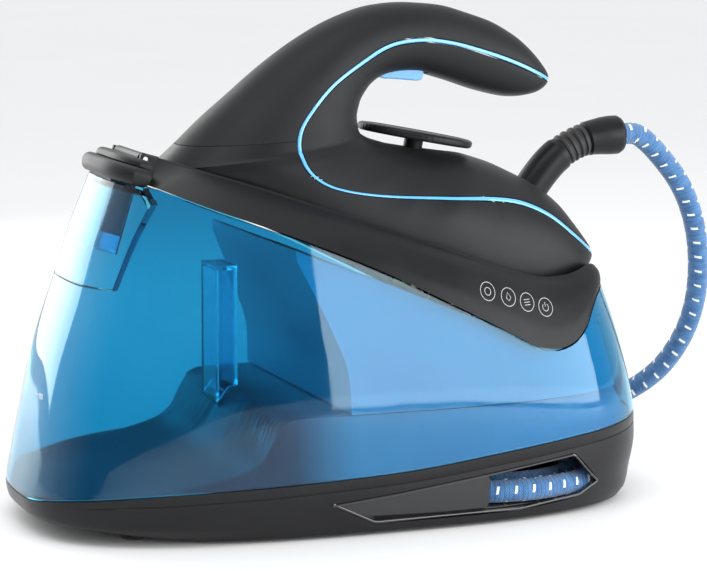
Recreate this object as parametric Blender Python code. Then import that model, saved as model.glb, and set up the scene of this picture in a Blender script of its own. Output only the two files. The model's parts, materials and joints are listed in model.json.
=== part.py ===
"""Steam station: a base with a translucent water tank, the iron that rests on its sloping deck,
and the braided steam hose that joins them.

Frame: metres, +Z up, origin under the middle of the object on the surface it stands on.
+X runs along the base from the filler lid to the iron's heel, and the object is symmetric
about Y = 0 apart from its hose, its plug-in socket and its drain cap.
The iron and the lid are modelled in the deck's own frame: u runs down the deck towards +X,
w stands square to the deck, y is the world's Y.
"""
import math

import bmesh
import bpy
from mathutils import Matrix, Vector

# ---------------------------------------------------------------- driving sizes (metres)
GAP = 0.0003                 # clearance between pieces that touch
WALL = 0.0025                # wall of the base's shells
SHELL = 0.0020               # wall of the iron's shells

BASE_LEFT = 0.2000           # the base's rim from the origin to its left end
BASE_RIGHT = 0.1980          # the same, to its right end
BASE_WIDTH = 0.2160          # rim width
PLAN_POWER = 3.0             # superellipse power of the plan outline
BASE_FOOT = 0.0025           # the tray's underside above the floor
DECK_ORIGIN = (-0.1080, 0.0, 0.2220)
DECK_TILT = 17.2             # degrees, down towards +X
DECK_PLATE = -0.0160         # the deck plate's top, in w

IRON_LENGTH = 0.2970         # tip to heel, in u
IRON_WIDTH = 0.1180          # widest
SOLE_THICK = 0.0040
SOLE_TOP = -0.0106           # in w

HOSE_DIAMETER = 0.0140
HOSE_FLOOR = 0.0105          # top of the floor that the stored hose lies on
HOSE_REST = HOSE_FLOOR + 0.5 * HOSE_DIAMETER + GAP      # height of its middle there

DIAL_DIAMETER = 0.0730
DIAL_THICK = 0.0055
DIAL_CENTRE = (0.1580, 0.0595)       # u, w of the middle of its top
DIAL_TILT = 6.3                      # degrees against the deck
DIAL_SHAFT = 0.0120

TRIGGER_WIDTH = 0.0150
TRIGGER_PIVOT = (0.1205, 0.0905)     # u, w
TRIGGER_SLACK = 0.0008

GLAND_DIAMETER = 0.0220
SLEEVE_DIAMETER = 0.0250

LID_AXIS = (-0.0170, -0.0040)        # u, w of the lid's hinge
LID_OVERHANG = 0.0050
LID_HALF = 0.0450                    # half its width
PIN_RADIUS = 0.0015
EAR_PLACE = 0.0300                   # y of the hinge ears
MOUTH_LOW = (-0.0280, -0.0205)       # the filler's mouth: u, y of two corners
MOUTH_HIGH = (-0.0150, 0.0205)
FILLER_PLATE = -0.0225               # its top plate, in w
FILLER_HALF = 0.0580                 # half-width of the filler section at its seams
FILLER_FLOOR = 0.1490                # height of its lower seam
FILLER_CORNER = 0.0085               # size of its upper corners
COVER_FRONT = -0.1260                # x of the deck cover's front edge

BUTTON_DIAMETER = 0.0160
BUTTON_PLACE = (0.022, 0.034)        # y, z on the +X end
LENS_PLACE = (-0.004, 0.034)
LENS_RADIUS = 0.0030
INLET_PLACE = (-0.110, 0.0190)       # x, z on the +Y side
INLET_RADIUS = 0.0075
DRAIN_PLACE = (-0.070, 0.0190)
DRAIN_RADIUS = 0.0085

LENGTH_SHARE = IRON_LENGTH / 0.2970   # the iron's size against the one its stations are given for
WIDTH_SHARE = IRON_WIDTH / 0.1180
BASE_SHARE = BASE_WIDTH / 0.2160

AROUND = 56                          # stations round a closed outline
HOUSING_COUNT = 34
BAY_COUNT = 40                       # steps round the outlines cut off square
ROUND = 20                           # sides of a turned piece

# ---------------------------------------------------------------- curves through chosen points


def curve_through(pairs):
    """Monotone cubic through (x, y) pairs; flat beyond its ends."""
    xs = [p[0] for p in pairs]
    ys = [p[1] for p in pairs]
    steps = [b - a for a, b in zip(xs, xs[1:])]
    rises = [(b - a) / h for a, b, h in zip(ys, ys[1:], steps)]
    slopes = [rises[0]]
    for i in range(1, len(rises)):
        before, after = rises[i - 1], rises[i]
        if before * after <= 0:
            slopes.append(0.0)
        else:
            k1 = 2 * steps[i] + steps[i - 1]
            k2 = steps[i] + 2 * steps[i - 1]
            slopes.append((k1 + k2) / (k1 / before + k2 / after))
    slopes.append(rises[-1])

    def value(x):
        x = min(max(x, xs[0]), xs[-1])
        i = 0
        while i < len(steps) - 1 and x > xs[i + 1]:
            i += 1
        t = (x - xs[i]) / steps[i]
        a = (2 * t ** 3 - 3 * t ** 2 + 1) * ys[i] + (t ** 3 - 2 * t ** 2 + t) * steps[i] * slopes[i]
        b = (3 * t ** 2 - 2 * t ** 3) * ys[i + 1] + (t ** 3 - t ** 2) * steps[i] * slopes[i + 1]
        return a + b
    return value


def smooth_step(x):
    x = min(max(x, 0.0), 1.0)
    return x * x * (3 - 2 * x)


def spline_points(points, spacing):
    """Points at an even spacing along a Catmull-Rom curve through the chosen ones."""
    pts = [Vector(p) for p in points]
    pts = [2 * pts[0] - pts[1]] + pts + [2 * pts[-1] - pts[-2]]
    dense = []
    for i in range(1, len(pts) - 2):
        for k in range(24):
            t = k / 24
            a, b, c, d = pts[i - 1], pts[i], pts[i + 1], pts[i + 2]
            dense.append(0.5 * (2 * b + (c - a) * t + (2 * a - 5 * b + 4 * c - d) * t * t
                                + (3 * b - a - 3 * c + d) * t ** 3))
    dense.append(pts[-2])
    return even_points(dense, spacing)


def even_points(dense, spacing):
    lengths = [0.0]
    for a, b in zip(dense, dense[1:]):
        lengths.append(lengths[-1] + (b - a).length)
    count = max(int(round(lengths[-1] / spacing)), 1)
    out, k = [], 0
    for i in range(count + 1):
        want = lengths[-1] * i / count
        while k < len(lengths) - 2 and lengths[k + 1] < want:
            k += 1
        part = (want - lengths[k]) / max(lengths[k + 1] - lengths[k], 1e-12)
        out.append(dense[k].lerp(dense[k + 1], min(max(part, 0.0), 1.0)))
    return out


# ---------------------------------------------------------------- the base's outer form
# each is a share of the rim size, against the height above the floor
LEFT_LEAN = curve_through([(0.0025, 0.800), (0.012, 0.992), (0.020, 1.000), (0.040, 0.983), (0.070, 0.953),
                           (0.100, 0.920), (0.150, 0.838), (0.180, 0.790), (0.203, 0.745), (0.225, 0.705)])
RIGHT_LEAN = curve_through([(0.0025, 0.955), (0.008, 0.975), (0.020, 0.983), (0.040, 1.000), (0.055, 0.998),
                            (0.070, 0.985), (0.100, 0.945), (0.150, 0.856), (0.180, 0.798), (0.225, 0.705)])
SIDE_LEAN = curve_through([(0.0025, 0.935), (0.015, 0.978), (0.030, 1.000), (0.050, 0.995), (0.080, 0.977),
                           (0.110, 0.945), (0.150, 0.870), (0.190, 0.778), (0.225, 0.685)])
# heights of the seams, against x
SEAM_HEIGHT = curve_through([(-0.200, 0.0210), (-0.191, 0.0250), (-0.165, 0.0295), (-0.138, 0.0320),
                             (-0.043, 0.0360), (0.010, 0.0385), (0.080, 0.0455), (0.129, 0.0500),
                             (0.158, 0.0520), (0.200, 0.0565)])
COVER_EDGE = curve_through([(-0.128, 0.2090), (-0.104, 0.1990), (-0.047, 0.1780), (0.001, 0.1580),
                            (0.051, 0.1335), (0.086, 0.1155), (0.104, 0.1065), (0.118, 0.1040),
                            (0.130, 0.1065), (0.142, 0.1150), (0.151, 0.1270), (0.158, 0.1330),
                            (0.166, 0.1360), (0.175, 0.1370)])


def base_wall(angle, z, inset=0.0):
    """A point on the base's outer form: angle 0 is the +X end, a quarter turn the +Y side."""
    c, s = math.cos(angle), math.sin(angle)
    along = BASE_RIGHT * RIGHT_LEAN(z) if c > 0 else BASE_LEFT * LEFT_LEAN(z)
    across = 0.5 * BASE_WIDTH * SIDE_LEAN(z)
    x = (along - inset) * math.copysign(abs(c) ** (2 / PLAN_POWER), c)
    y = (across - inset) * math.copysign(abs(s) ** (2 / PLAN_POWER), s)
    return Vector((x, y, z))


def wall_at(angle, height_of_x, inset=0.0):
    """The point of the outer form whose height is the given function of its x."""
    z = 0.1
    for _ in range(12):
        point = base_wall(angle, z, inset)
        z = 0.5 * z + 0.5 * height_of_x(point.x)
    return base_wall(angle, z, inset)


def even_angles(count, first=0.0, last=2 * math.pi, z=0.06):
    """Plan angles whose points lie at even distances along the outline, both ends included."""
    fine = [first + (last - first) * i / 1440 for i in range(1441)]
    pts = [base_wall(a, z) for a in fine]
    run = [0.0]
    for a, b in zip(pts, pts[1:]):
        run.append(run[-1] + (b - a).length)
    angles, k = [], 0
    for i in range(count + 1):
        want = run[-1] * i / count
        while k < len(run) - 2 and run[k + 1] < want:
            k += 1
        part = (want - run[k]) / (run[k + 1] - run[k])
        angles.append(fine[k] + (fine[k + 1] - fine[k]) * part)
    return angles


def deck_matrix():
    return Matrix.Translation(DECK_ORIGIN) @ Matrix.Rotation(math.radians(DECK_TILT), 4, "Y")


def from_deck(u, y, w):
    return deck_matrix() @ Vector((u, y, w))


# ---------------------------------------------------------------- the iron's outer form
# half-width of the iron's plan at its lower edge, as a share of half its width, against u as a share
# of its length
PLAN = curve_through([(0.000, 0.03), (0.017, 0.22), (0.060, 0.43), (0.150, 0.64), (0.290, 0.83),
                      (0.430, 0.935), (0.580, 0.990), (0.680, 1.00), (0.780, 0.965), (0.860, 0.880),
                      (0.925, 0.740), (0.970, 0.520), (0.990, 0.300), (1.000, 0.10)])
# stations from the handle's end, down the pillar, along the body to the heel:
# inner point (u, w), outer or lower point (u, w), half-width, half-width at the outer point, in mm
STATIONS = [
    (235.2, 113.2, 234.8, 115.4, 1.2, 0), (233.5, 109.5, 232.0, 119.0, 7.5, 0),
    (229.0, 104.5, 225.0, 124.0, 13.0, 0), (218.0, 98.5, 214.0, 130.3, 17.5, 0),
    (204.0, 95.3, 200.0, 135.6, 19.5, 0), (185.0, 94.3, 180.0, 139.0, 20.5, 0),
    (165.0, 94.8, 157.0, 139.3, 21.0, 0), (150.0, 94.6, 131.0, 135.0, 21.5, 0),
    (135.0, 91.0, 106.0, 126.0, 22.5, 0), (122.5, 84.0, 84.0, 111.0, 24.5, 0),
    (116.5, 75.0, 64.5, 91.5, 27.0, 0), (114.3, 66.0, 47.0, 69.0, 30.0, 0),
    (114.8, 59.0, 31.5, 45.5, 33.0, 0), (117.0, 53.5, 19.5, 27.0, 36.0, 0),
    (119.5, 49.5, 9.5, 9.5, 39.0, 0), (124.0, 47.2, -1.0, -8.0, 42.0, 0),
    (130.0, 46.3, 12.0, -8.0, 44.5, 0), (138.0, 46.3, 35.0, -8.0, 46.5, 0),
    (147.0, 47.2, 65.0, -8.0, 49.0, 0), (160.0, 49.0, 100.0, -8.0, 52.5, 0),
    (176.0, 51.5, 140.0, -8.0, 56.5, 0), (193.0, 53.8, 172.0, -8.0, 58.6, 0),
    (208.0, 53.6, 200.0, -8.0, 59.0, 0), (228.0, 51.2, 226.0, -8.0, 57.5, 0),
    (243.0, 48.0, 244.0, -6.5, 54.5, 0), (258.0, 42.7, 260.0, -2.0, 49.5, 0),
    (272.0, 34.0, 272.5, 3.0, 43.5, 0), (284.0, 25.8, 283.5, 8.5, 33.5, 0),
    (292.0, 20.5, 291.0, 13.0, 20.0, 0), (296.6, 17.8, 296.3, 16.2, 4.0, 0)]
SEAM_STATION = 14            # between the handle cover and the body shell
TIP_STATION = 15             # from here on the outer point runs along the lower edge
LAST = len(STATIONS) - 1
# the trim line on the iron's side, u and w in mm
TRIM = [(237, 113), (226, 115), (201, 117.5), (178, 118), (156, 117), (136, 113), (117, 104), (101, 88), (86, 70),
        (76, 51), (71.5, 38), (72.5, 27), (79, 17), (91, 11.5), (107, 11), (133, 15), (171, 24),
        (200, 31), (223, 34), (245, 31.5), (268, 23.5), (285, 18), (300, 17)]
TRIM_HALF = 0.0012           # half the width of the trim strip
TRIM_PROUD = 0.0005


def station_values():
    columns = [curve_through([(i, row[k] / 1000) for i, row in enumerate(STATIONS)]) for k in range(6)]
    return columns


COLUMNS = station_values()
TRIM_CURVE = spline_points([(u / 1000, 0, w / 1000) for u, w in TRIM], 0.002)


def iron_section(s):
    """Inner point, outer point, half-width and outer half-width of the section at station s."""
    iu, iw, ou, ow, width, edge = [column(s) for column in COLUMNS]
    inner = Vector((iu * LENGTH_SHARE, 0, iw))
    outer = Vector((ou * LENGTH_SHARE, 0, ow))
    width *= WIDTH_SHARE
    if s > TIP_STATION:
        edge = PLAN(ou / 0.297) * 0.059
    edge = min(edge * WIDTH_SHARE, width * 0.9999)
    return inner, outer, width, edge


def iron_point(s, t, side, inset=0.0):
    """A point of the iron's surface: t runs from the inner line (0) to the outer line (1)."""
    inner, outer, width, edge = iron_section(s)
    across = outer - inner
    length = across.length
    inset = min(inset, 0.42 * width, 0.30 * length)
    ratio = edge / width
    reach = 1.0 if ratio < 1e-4 else 2 * (1 - math.sqrt(1 - ratio * ratio)) / (ratio * ratio)
    spread = 2 / reach * math.sqrt(max(t * (reach - t), 0.0))
    spread = spread ** 0.9
    along = inset + t * (length - 2 * inset)
    point = inner + across * (along / length)
    return Vector((point.x, side * (width - inset) * spread, point.z))


def trim_share(s):
    """The share t at which the trim line crosses station s."""
    inner, outer, _, _ = iron_section(s)
    across = outer - inner
    best, where = None, 0.5
    normal = Vector((-across.z, 0, across.x)).normalized()
    curve = [Vector((p.x * LENGTH_SHARE, 0, p.z)) for p in TRIM_CURVE]
    for a, b in zip(curve, curve[1:]):
        da, db = (a - inner).dot(normal), (b - inner).dot(normal)
        if da * db > 0:
            continue
        p = a.lerp(b, da / (da - db) if da != db else 0.0)
        t = (p - inner).dot(across) / across.length_squared
        off = abs(t - 0.5)
        if -0.2 < t < 1.2 and (best is None or off < best):
            best, where = off, t
    return min(max(where, 0.12), 0.88)


def share_curve():
    pairs = [(i * 0.25, trim_share(i * 0.25)) for i in range(LAST * 4 + 1)]
    return curve_through(pairs)


# ---------------------------------------------------------------- mesh helpers
MATERIALS = {}


def material(name, color, rough=0.4, metal=0.0, clear=0.0):
    if name in MATERIALS:
        return MATERIALS[name]
    mat = bpy.data.materials.new(name)
    mat.use_nodes = True
    bsdf = mat.node_tree.nodes["Principled BSDF"]
    bsdf.inputs["Base Color"].default_value = (*color, 1)
    bsdf.inputs["Roughness"].default_value = rough
    bsdf.inputs["Metallic"].default_value = metal
    bsdf.inputs["Transmission Weight"].default_value = clear
    mat.diffuse_color = (*color, 1)
    MATERIALS[name] = mat
    return mat


def link(name, mesh, mat, parent=None, origin=(0, 0, 0)):
    obj = bpy.data.objects.new(name, mesh)
    bpy.context.scene.collection.objects.link(obj)
    if mat:
        mesh.materials.append(mat)
    if parent:
        obj.parent = parent
    obj.location = origin
    return obj


def mesh_from(name, verts, faces, mat, parent=None, origin=(0, 0, 0), smooth=40):
    mesh = bpy.data.meshes.new(name)
    shift = Vector(origin)
    mesh.from_pydata([tuple(Vector(v) - shift) for v in verts], [], faces)
    bm = bmesh.new()
    bm.from_mesh(mesh)
    bmesh.ops.remove_doubles(bm, verts=bm.verts, dist=1e-6)
    bmesh.ops.recalc_face_normals(bm, faces=bm.faces)
    bm.to_mesh(mesh)
    bm.free()
    mesh.shade_smooth()
    mesh.set_sharp_from_angle(angle=math.radians(smooth))
    return link(name, mesh, mat, parent, origin)


def grid_faces(rows, cols, closed=False, skip=None):
    faces = []
    for i in range(rows - 1):
        for j in range(cols if closed else cols - 1):
            if skip and skip(i, j):
                continue
            k = (j + 1) % cols
            faces.append((i * cols + j, i * cols + k, (i + 1) * cols + k, (i + 1) * cols + j))
    return faces


def thick_sheet(name, outer, inner, faces, mat, parent=None, origin=(0, 0, 0)):
    """A closed wall: the outer sheet, the inner sheet turned over, and the edges between them."""
    weld = {}

    def keys(points):
        return [weld.setdefault((round(p.x, 7), round(p.y, 7), round(p.z, 7)), len(weld)) for p in points]

    outer_key, inner_key = keys(outer), keys(inner)
    verts = [None] * len(weld)
    for key, index in weld.items():
        verts[index] = Vector(key)
    solid = []
    edges = {}
    for face in faces:
        ring = []
        for v in face:
            if not ring or outer_key[v] != outer_key[ring[-1]]:
                ring.append(v)
        if len(ring) > 1 and outer_key[ring[0]] == outer_key[ring[-1]]:
            ring.pop()
        if len(ring) < 3:
            continue
        solid.append([outer_key[v] for v in ring])
        solid.append([inner_key[v] for v in reversed(ring)])
        for a, b in zip(ring, ring[1:] + ring[:1]):
            pair = (outer_key[a], outer_key[b])
            if (pair[1], pair[0]) in edges:
                del edges[(pair[1], pair[0])]
            else:
                edges[pair] = (a, b)
    for a, b in edges.values():
        solid.append([outer_key[b], outer_key[a], inner_key[a], inner_key[b]])
    return mesh_from(name, verts, solid, mat, parent, origin)


def loft(name, rings, mat, parent=None, origin=(0, 0, 0)):
    """A closed body through rings of equal count, with flat caps."""
    count = len(rings[0])
    verts = [v for ring in rings for v in ring]
    faces = grid_faces(len(rings), count, closed=True)
    faces.append(tuple(reversed(range(count))))
    last = (len(rings) - 1) * count
    faces.append(tuple(last + i for i in range(count)))
    return mesh_from(name, verts, faces, mat, parent, origin)


def circle(centre, radius, axis, count=ROUND, start=(0, 1, 0)):
    axis = Vector(axis).normalized()
    side = Vector(start)
    side = (side - axis * side.dot(axis)).normalized()
    other = axis.cross(side)
    return [Vector(centre) + radius * (side * math.cos(2 * math.pi * i / count)
                                       + other * math.sin(2 * math.pi * i / count)) for i in range(count)]


def turned(name, start, axis, profile, mat, parent=None, origin=None, count=ROUND, bore=None):
    """A turned piece: profile is (distance along the axis, radius); bore is its inner profile."""
    axis = Vector(axis).normalized()
    start = Vector(start)
    across = (1, 0, 0) if abs(axis.y) > 0.9 else (0, 1, 0)
    rings = [circle(start + axis * d, r, axis, count, across) for d, r in profile]
    if bore is None:
        return loft(name, rings, mat, parent, origin or (0, 0, 0))
    rings += [circle(start + axis * d, r, axis, count, across) for d, r in reversed(bore)]
    rings.append(rings[0])
    verts = [v for ring in rings for v in ring]
    return mesh_from(name, verts, grid_faces(len(rings), count, closed=True), mat, parent,
                     origin or (0, 0, 0))


def directions(path):
    last = len(path) - 1
    return [(path[min(i + 1, last)] - path[max(i - 1, 0)]).normalized() for i in range(len(path))]


def tube_along(name, path, radii, mat, parent=None, origin=(0, 0, 0), count=ROUND, bore=None, ways=None):
    """A pipe along a path, with a radius at each point, solid or bored; ways are its own directions."""
    path = [Vector(p) for p in path]
    rings, holes = [], []
    for i, (p, ahead) in enumerate(zip(path, ways or directions(path))):
        rings.append(circle(p, radii[i], ahead, count))
        if bore:
            holes.append(circle(p, bore[i], ahead, count))
    if not bore:
        return loft(name, rings, mat, parent, origin)
    loops = rings + holes[::-1] + rings[:1]
    verts = [v for ring in loops for v in ring]
    return mesh_from(name, verts, grid_faces(len(loops), count, closed=True), mat, parent, origin)


def block(name, low, high, mat, parent=None, origin=(0, 0, 0), bevel=0.0):
    lx, ly, lz = low
    hx, hy, hz = high
    ring = [(lx, ly), (hx, ly), (hx, hy), (lx, hy)]
    rings = [[Vector((x, y, z)) for x, y in ring] for z in (lz, hz)]
    obj = loft(name, rings, mat, parent, origin)
    if bevel:
        mod = obj.modifiers.new("Rounded edges", "BEVEL")
        mod.width = bevel
        mod.segments = 2
    return obj


def prism(name, outline, low, high, mat, parent=None, origin=(0, 0, 0)):
    """An outline of (x, z) points drawn out along Y."""
    rings = [[Vector((x, y, z)) for x, z in outline] for y in (low, high)]
    return loft(name, rings, mat, parent, origin)


def cut(obj, cutter, mode="DIFFERENCE"):
    mod = obj.modifiers.new(mode.title() + " " + cutter.name, "BOOLEAN")
    mod.operation = mode
    mod.solver = "EXACT"
    mod.object = cutter
    cutter.hide_render = True
    cutter.hide_set(True)
    cutter.display_type = "WIRE"


def joined(name, pieces):
    """One cutter made of several that lie apart in the same frame."""
    bm = bmesh.new()
    for piece in pieces:
        bm.from_mesh(piece.data)
    mesh = bpy.data.meshes.new(name)
    bm.to_mesh(mesh)
    bm.free()
    parent = pieces[0].parent
    for piece in pieces:
        bpy.data.objects.remove(piece)
    return link(name, mesh, None, parent)


def slab(name, outline, low, high, mat, parent=None, origin=(0, 0, 0), chamfer=0.0):
    """A flat plate from a closed outline of (x, y), between two heights, its lower edge chamfered."""
    centre = sum((Vector(p) for p in outline), Vector((0, 0))) / len(outline)
    rings = []
    for z, inset in ((low, chamfer), (low + chamfer, 0.0), (high, 0.0)) if chamfer else ((low, 0), (high, 0)):
        ring = []
        for x, y in outline:
            away = Vector((x, y)) - centre
            shrink = max(1 - inset / away.length, 0.0)
            ring.append(Vector((centre.x + away.x * shrink, centre.y + away.y * shrink, z)))
        rings.append(ring)
    return loft(name, rings, mat, parent, origin)


# ---------------------------------------------------------------- the base
def build_tray(black, angles):
    """The black lower shell: a wedge-shaped bowl with a hose window in each long side."""
    levels = [1.0, 0.72, 0.45, 0.20]
    # height outside, inner sheet's inset, and how much higher it lies
    low = [(0.0200, WALL, 0.0), (0.0120, WALL, 0.0015), (0.0065, 0.0020, WALL), (BASE_FOOT, 0.0020, WALL)]
    outer, inner = [], []
    for share in levels:
        for a in angles:
            top = wall_at(a, lambda x: SEAM_HEIGHT(x) - GAP)
            z = 0.0203 + (top.z - 0.0203) * share
            outer.append(base_wall(a, z))
            inner.append(base_wall(a, z, WALL))
    for z, inset, rise in low:
        outer += [base_wall(a, z) for a in angles]
        inner += [base_wall(a, z, inset) + Vector((0, 0, rise)) for a in angles]
    count = len(angles)
    rows = len(levels) + len(low)
    faces = grid_faces(rows, count, closed=True)
    faces.append(tuple((rows - 1) * count + i for i in range(count)))
    tray = thick_sheet("base_tray", outer, inner, faces, black)
    window = [(-0.0360, 0.0220), (-0.0060, 0.0072), (0.0900, 0.0072), (0.1340, 0.0110), (0.1500, 0.0185),
              (0.1280, 0.0400), (0.0740, 0.0345), (0.0080, 0.0265)]
    for side in (-1, 1):
        low, high = sorted((side * 0.070, side * 0.130))
        cut(tray, prism(f"window_cutter_{side}", window, low, high, None))
    bore = turned("button_bore", (0.170, BUTTON_PLACE[0], BUTTON_PLACE[1]), (1, 0, 0),
                  [(0, 0.5 * BUTTON_DIAMETER + GAP), (0.060, 0.5 * BUTTON_DIAMETER + GAP)], None)
    cut(tray, bore)
    lens = turned("lens_bore", (0.170, LENS_PLACE[0], LENS_PLACE[1]), (1, 0, 0),
                  [(0, LENS_RADIUS + GAP), (0.060, LENS_RADIUS + GAP)], None)
    cut(tray, lens)
    for name, (x, z), radius in (("inlet_bore", INLET_PLACE, INLET_RADIUS),
                                 ("drain_bore", DRAIN_PLACE, DRAIN_RADIUS)):
        cut(tray, turned(name, (x, 0.080, z), (0, 1, 0), [(0, radius + GAP), (0.050, radius + GAP)], None))
    return tray


def clipped_outline(z, inset, front, count, back=1.0):
    """Plan outline of the outer form at one height, cut off square at x = front and x = back."""
    along = (BASE_RIGHT * RIGHT_LEAN(z) if front > 0 else BASE_LEFT * LEFT_LEAN(z)) - inset
    end = math.acos(math.copysign((abs(front) / along) ** (0.5 * PLAN_POWER), front))
    ring = []
    for a in even_angles(count, -end, end):
        p = base_wall(a, z, inset)
        ring.append(Vector((min(p.x, back), p.y, z)))
    return ring


def build_bay(gloss):
    """The glossy tray that the stored hose lies on, and the wall that closes its left end."""
    outer, inner = [], []
    front = 0.0165
    for z in (BASE_FOOT + WALL + GAP, HOSE_FLOOR):
        side = WALL + 0.0026
        outer += clipped_outline(z, side, front, BAY_COUNT)
        inner += clipped_outline(min(z, HOSE_FLOOR - 0.002), side + 0.002, front + 0.002, BAY_COUNT)
    count = BAY_COUNT + 1
    faces = grid_faces(2, count, closed=True)
    faces.append(tuple(count + i for i in range(count)))
    thick_sheet("hose_bay_liner", outer, inner, faces, gloss)
    path = [(-0.0330, -0.0980), (-0.0120, -0.0930), (0.0080, -0.0830), (0.0140, -0.0700), (0.0140, 0.0),
            (0.0140, 0.0700), (0.0080, 0.0830), (-0.0120, 0.0930), (-0.0330, 0.0980)]
    rings = []
    path = [(x, y * BASE_SHARE) for x, y in path]
    for i, (x, y) in enumerate(path):
        x0, y0 = path[max(i - 1, 0)]
        x1, y1 = path[min(i + 1, len(path) - 1)]
        ahead = Vector((x1 - x0, y1 - y0)).normalized()
        off = Vector((-ahead.y, ahead.x)) * 0.0018
        low, high = BASE_FOOT + WALL + GAP, 0.0335
        if i in (0, len(path) - 1):
            high = 0.0240
        if i in (1, len(path) - 2):
            high = 0.0290
        rings.append([Vector((x, y, low)), Vector((x + off.x, y + off.y, low)),
                      Vector((x + off.x, y + off.y, high)), Vector((x, y, high))])
    loft("bay_partition", rings, gloss)


FLOOR_RISE = curve_through([(-0.190, 0.0225), (-0.120, 0.0340), (-0.082, 0.0420), (-0.072, 0.0500),
                            (-0.062, 0.0690), (-0.050, 0.0725), (0.180, 0.0725)])


def build_chassis(dark, angles):
    """The tank's floor: a thin plate from the seam inwards, stepping up over the pump space."""
    side = WALL + 0.0012
    outer, inner = [], []
    for share in (1.0, 0.965, 0.93, 0.75, 0.50, 0.25):
        for a in angles:
            edge = wall_at(a, lambda x: SEAM_HEIGHT(x) - 0.0012, side)
            rim = edge.z + 0.0012
            x, y = edge.x * share, edge.y * share
            lift = smooth_step((1.0 - share) / 0.07)
            z = rim + (max(FLOOR_RISE(x), rim) - rim) * lift
            outer.append(Vector((x, y, z)))
            inner.append(Vector((x * (1 - 0.0018 * (share > 0.9) / max(abs(x), 0.05)), y, z - 0.0020)))
    count = len(angles)
    rows = 6
    faces = grid_faces(rows, count, closed=True)
    outer.append(Vector((0, 0, FLOOR_RISE(0))))
    inner.append(Vector((0, 0, FLOOR_RISE(0) - 0.0020)))
    tip = len(outer) - 1
    last = (rows - 1) * count
    faces += [(last + i, last + (i + 1) % count, tip) for i in range(count)]
    thick_sheet("chassis", outer, inner, faces, dark)


def build_tank(blue, angles):
    """The translucent shell round the whole base, with the filler section's gap at its left end."""
    at_top = []
    for a in angles:
        z = 0.12
        for _ in range(40):
            p = base_wall(a, z)
            z = 0.6 * z + 0.4 * (COVER_EDGE(p.x) - 3 * GAP)
        at_top.append(z)
    outer, inner = [], []
    shares = (0.0, 0.10, 0.22, 0.36, 0.50, 0.64, 0.78, 0.90, 1.0)
    for share in shares:
        for a, top in zip(angles, at_top):
            low = wall_at(a, lambda x: SEAM_HEIGHT(x) + GAP).z
            z = low + (top - low) * share
            outer.append(base_wall(a, z))
            inner.append(base_wall(a, z, WALL))
    tank = thick_sheet("tank_shell", outer, inner, grid_faces(len(shares), len(angles), closed=True), blue)
    corner = FILLER_HALF - FILLER_CORNER
    right = [(FILLER_HALF, FILLER_FLOOR - GAP), (FILLER_HALF, 0.1985), (corner, 0.2095), (corner, 0.2500)]
    outline = right + [(-y, z) for y, z in reversed(right)]
    rings = [[Vector((x, y, z)) for y, z in outline] for x in (-0.2500, -0.0900)]
    cut(tank, loft("filler_gap", rings, None))


def filler_height(x):
    """Height of the filler section's top plate, which lies parallel to the deck."""
    return deck_height(x, FILLER_PLATE)


def box_tube(name, low, high, top, floor, thick, mat, parent, origin=(0, 0, 0), bottom=0.0):
    """A rectangular tube between two heights, open at both ends or with a bottom."""
    rings = []
    for inset, z in ((0, floor), (0, top), (thick, top), (thick, floor + bottom)):
        rings.append([Vector((low[0] + inset, low[1] + inset, z)), Vector((high[0] - inset, low[1] + inset, z)),
                      Vector((high[0] - inset, high[1] - inset, z)), Vector((low[0] + inset, high[1] - inset, z))])
    if bottom:
        return loft(name, rings, mat, parent, origin)
    rings.append(rings[0])
    verts = [v for ring in rings for v in ring]
    return mesh_from(name, verts, grid_faces(len(rings), 4, closed=True), mat, parent, origin)


def filler_wall(y, share, inset=0.0):
    """A point of the filler section's wall, at a share of its height, and moved in square to it."""
    z, x = 0.18, -0.150
    corner = FILLER_CORNER * max(share - 0.84, 0.0) / 0.16
    y *= 1 - corner / (FILLER_HALF - GAP)
    for _ in range(14):
        along = BASE_LEFT * LEFT_LEAN(z)
        across = 0.5 * BASE_WIDTH * SIDE_LEAN(z)
        x = -along * (1 - min(abs(y) / across, 1.0) ** PLAN_POWER) ** (1 / PLAN_POWER)
        goal = FILLER_FLOOR + GAP + (filler_height(x) - FILLER_FLOOR - GAP) * share
        z = 0.5 * z + 0.5 * goal
    normal = Vector(((-(abs(x) / along) ** 2) / along, math.copysign((abs(y) / across) ** 2 / across, y), 0))
    return Vector((x, y, z)) - normal.normalized() * inset


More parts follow.
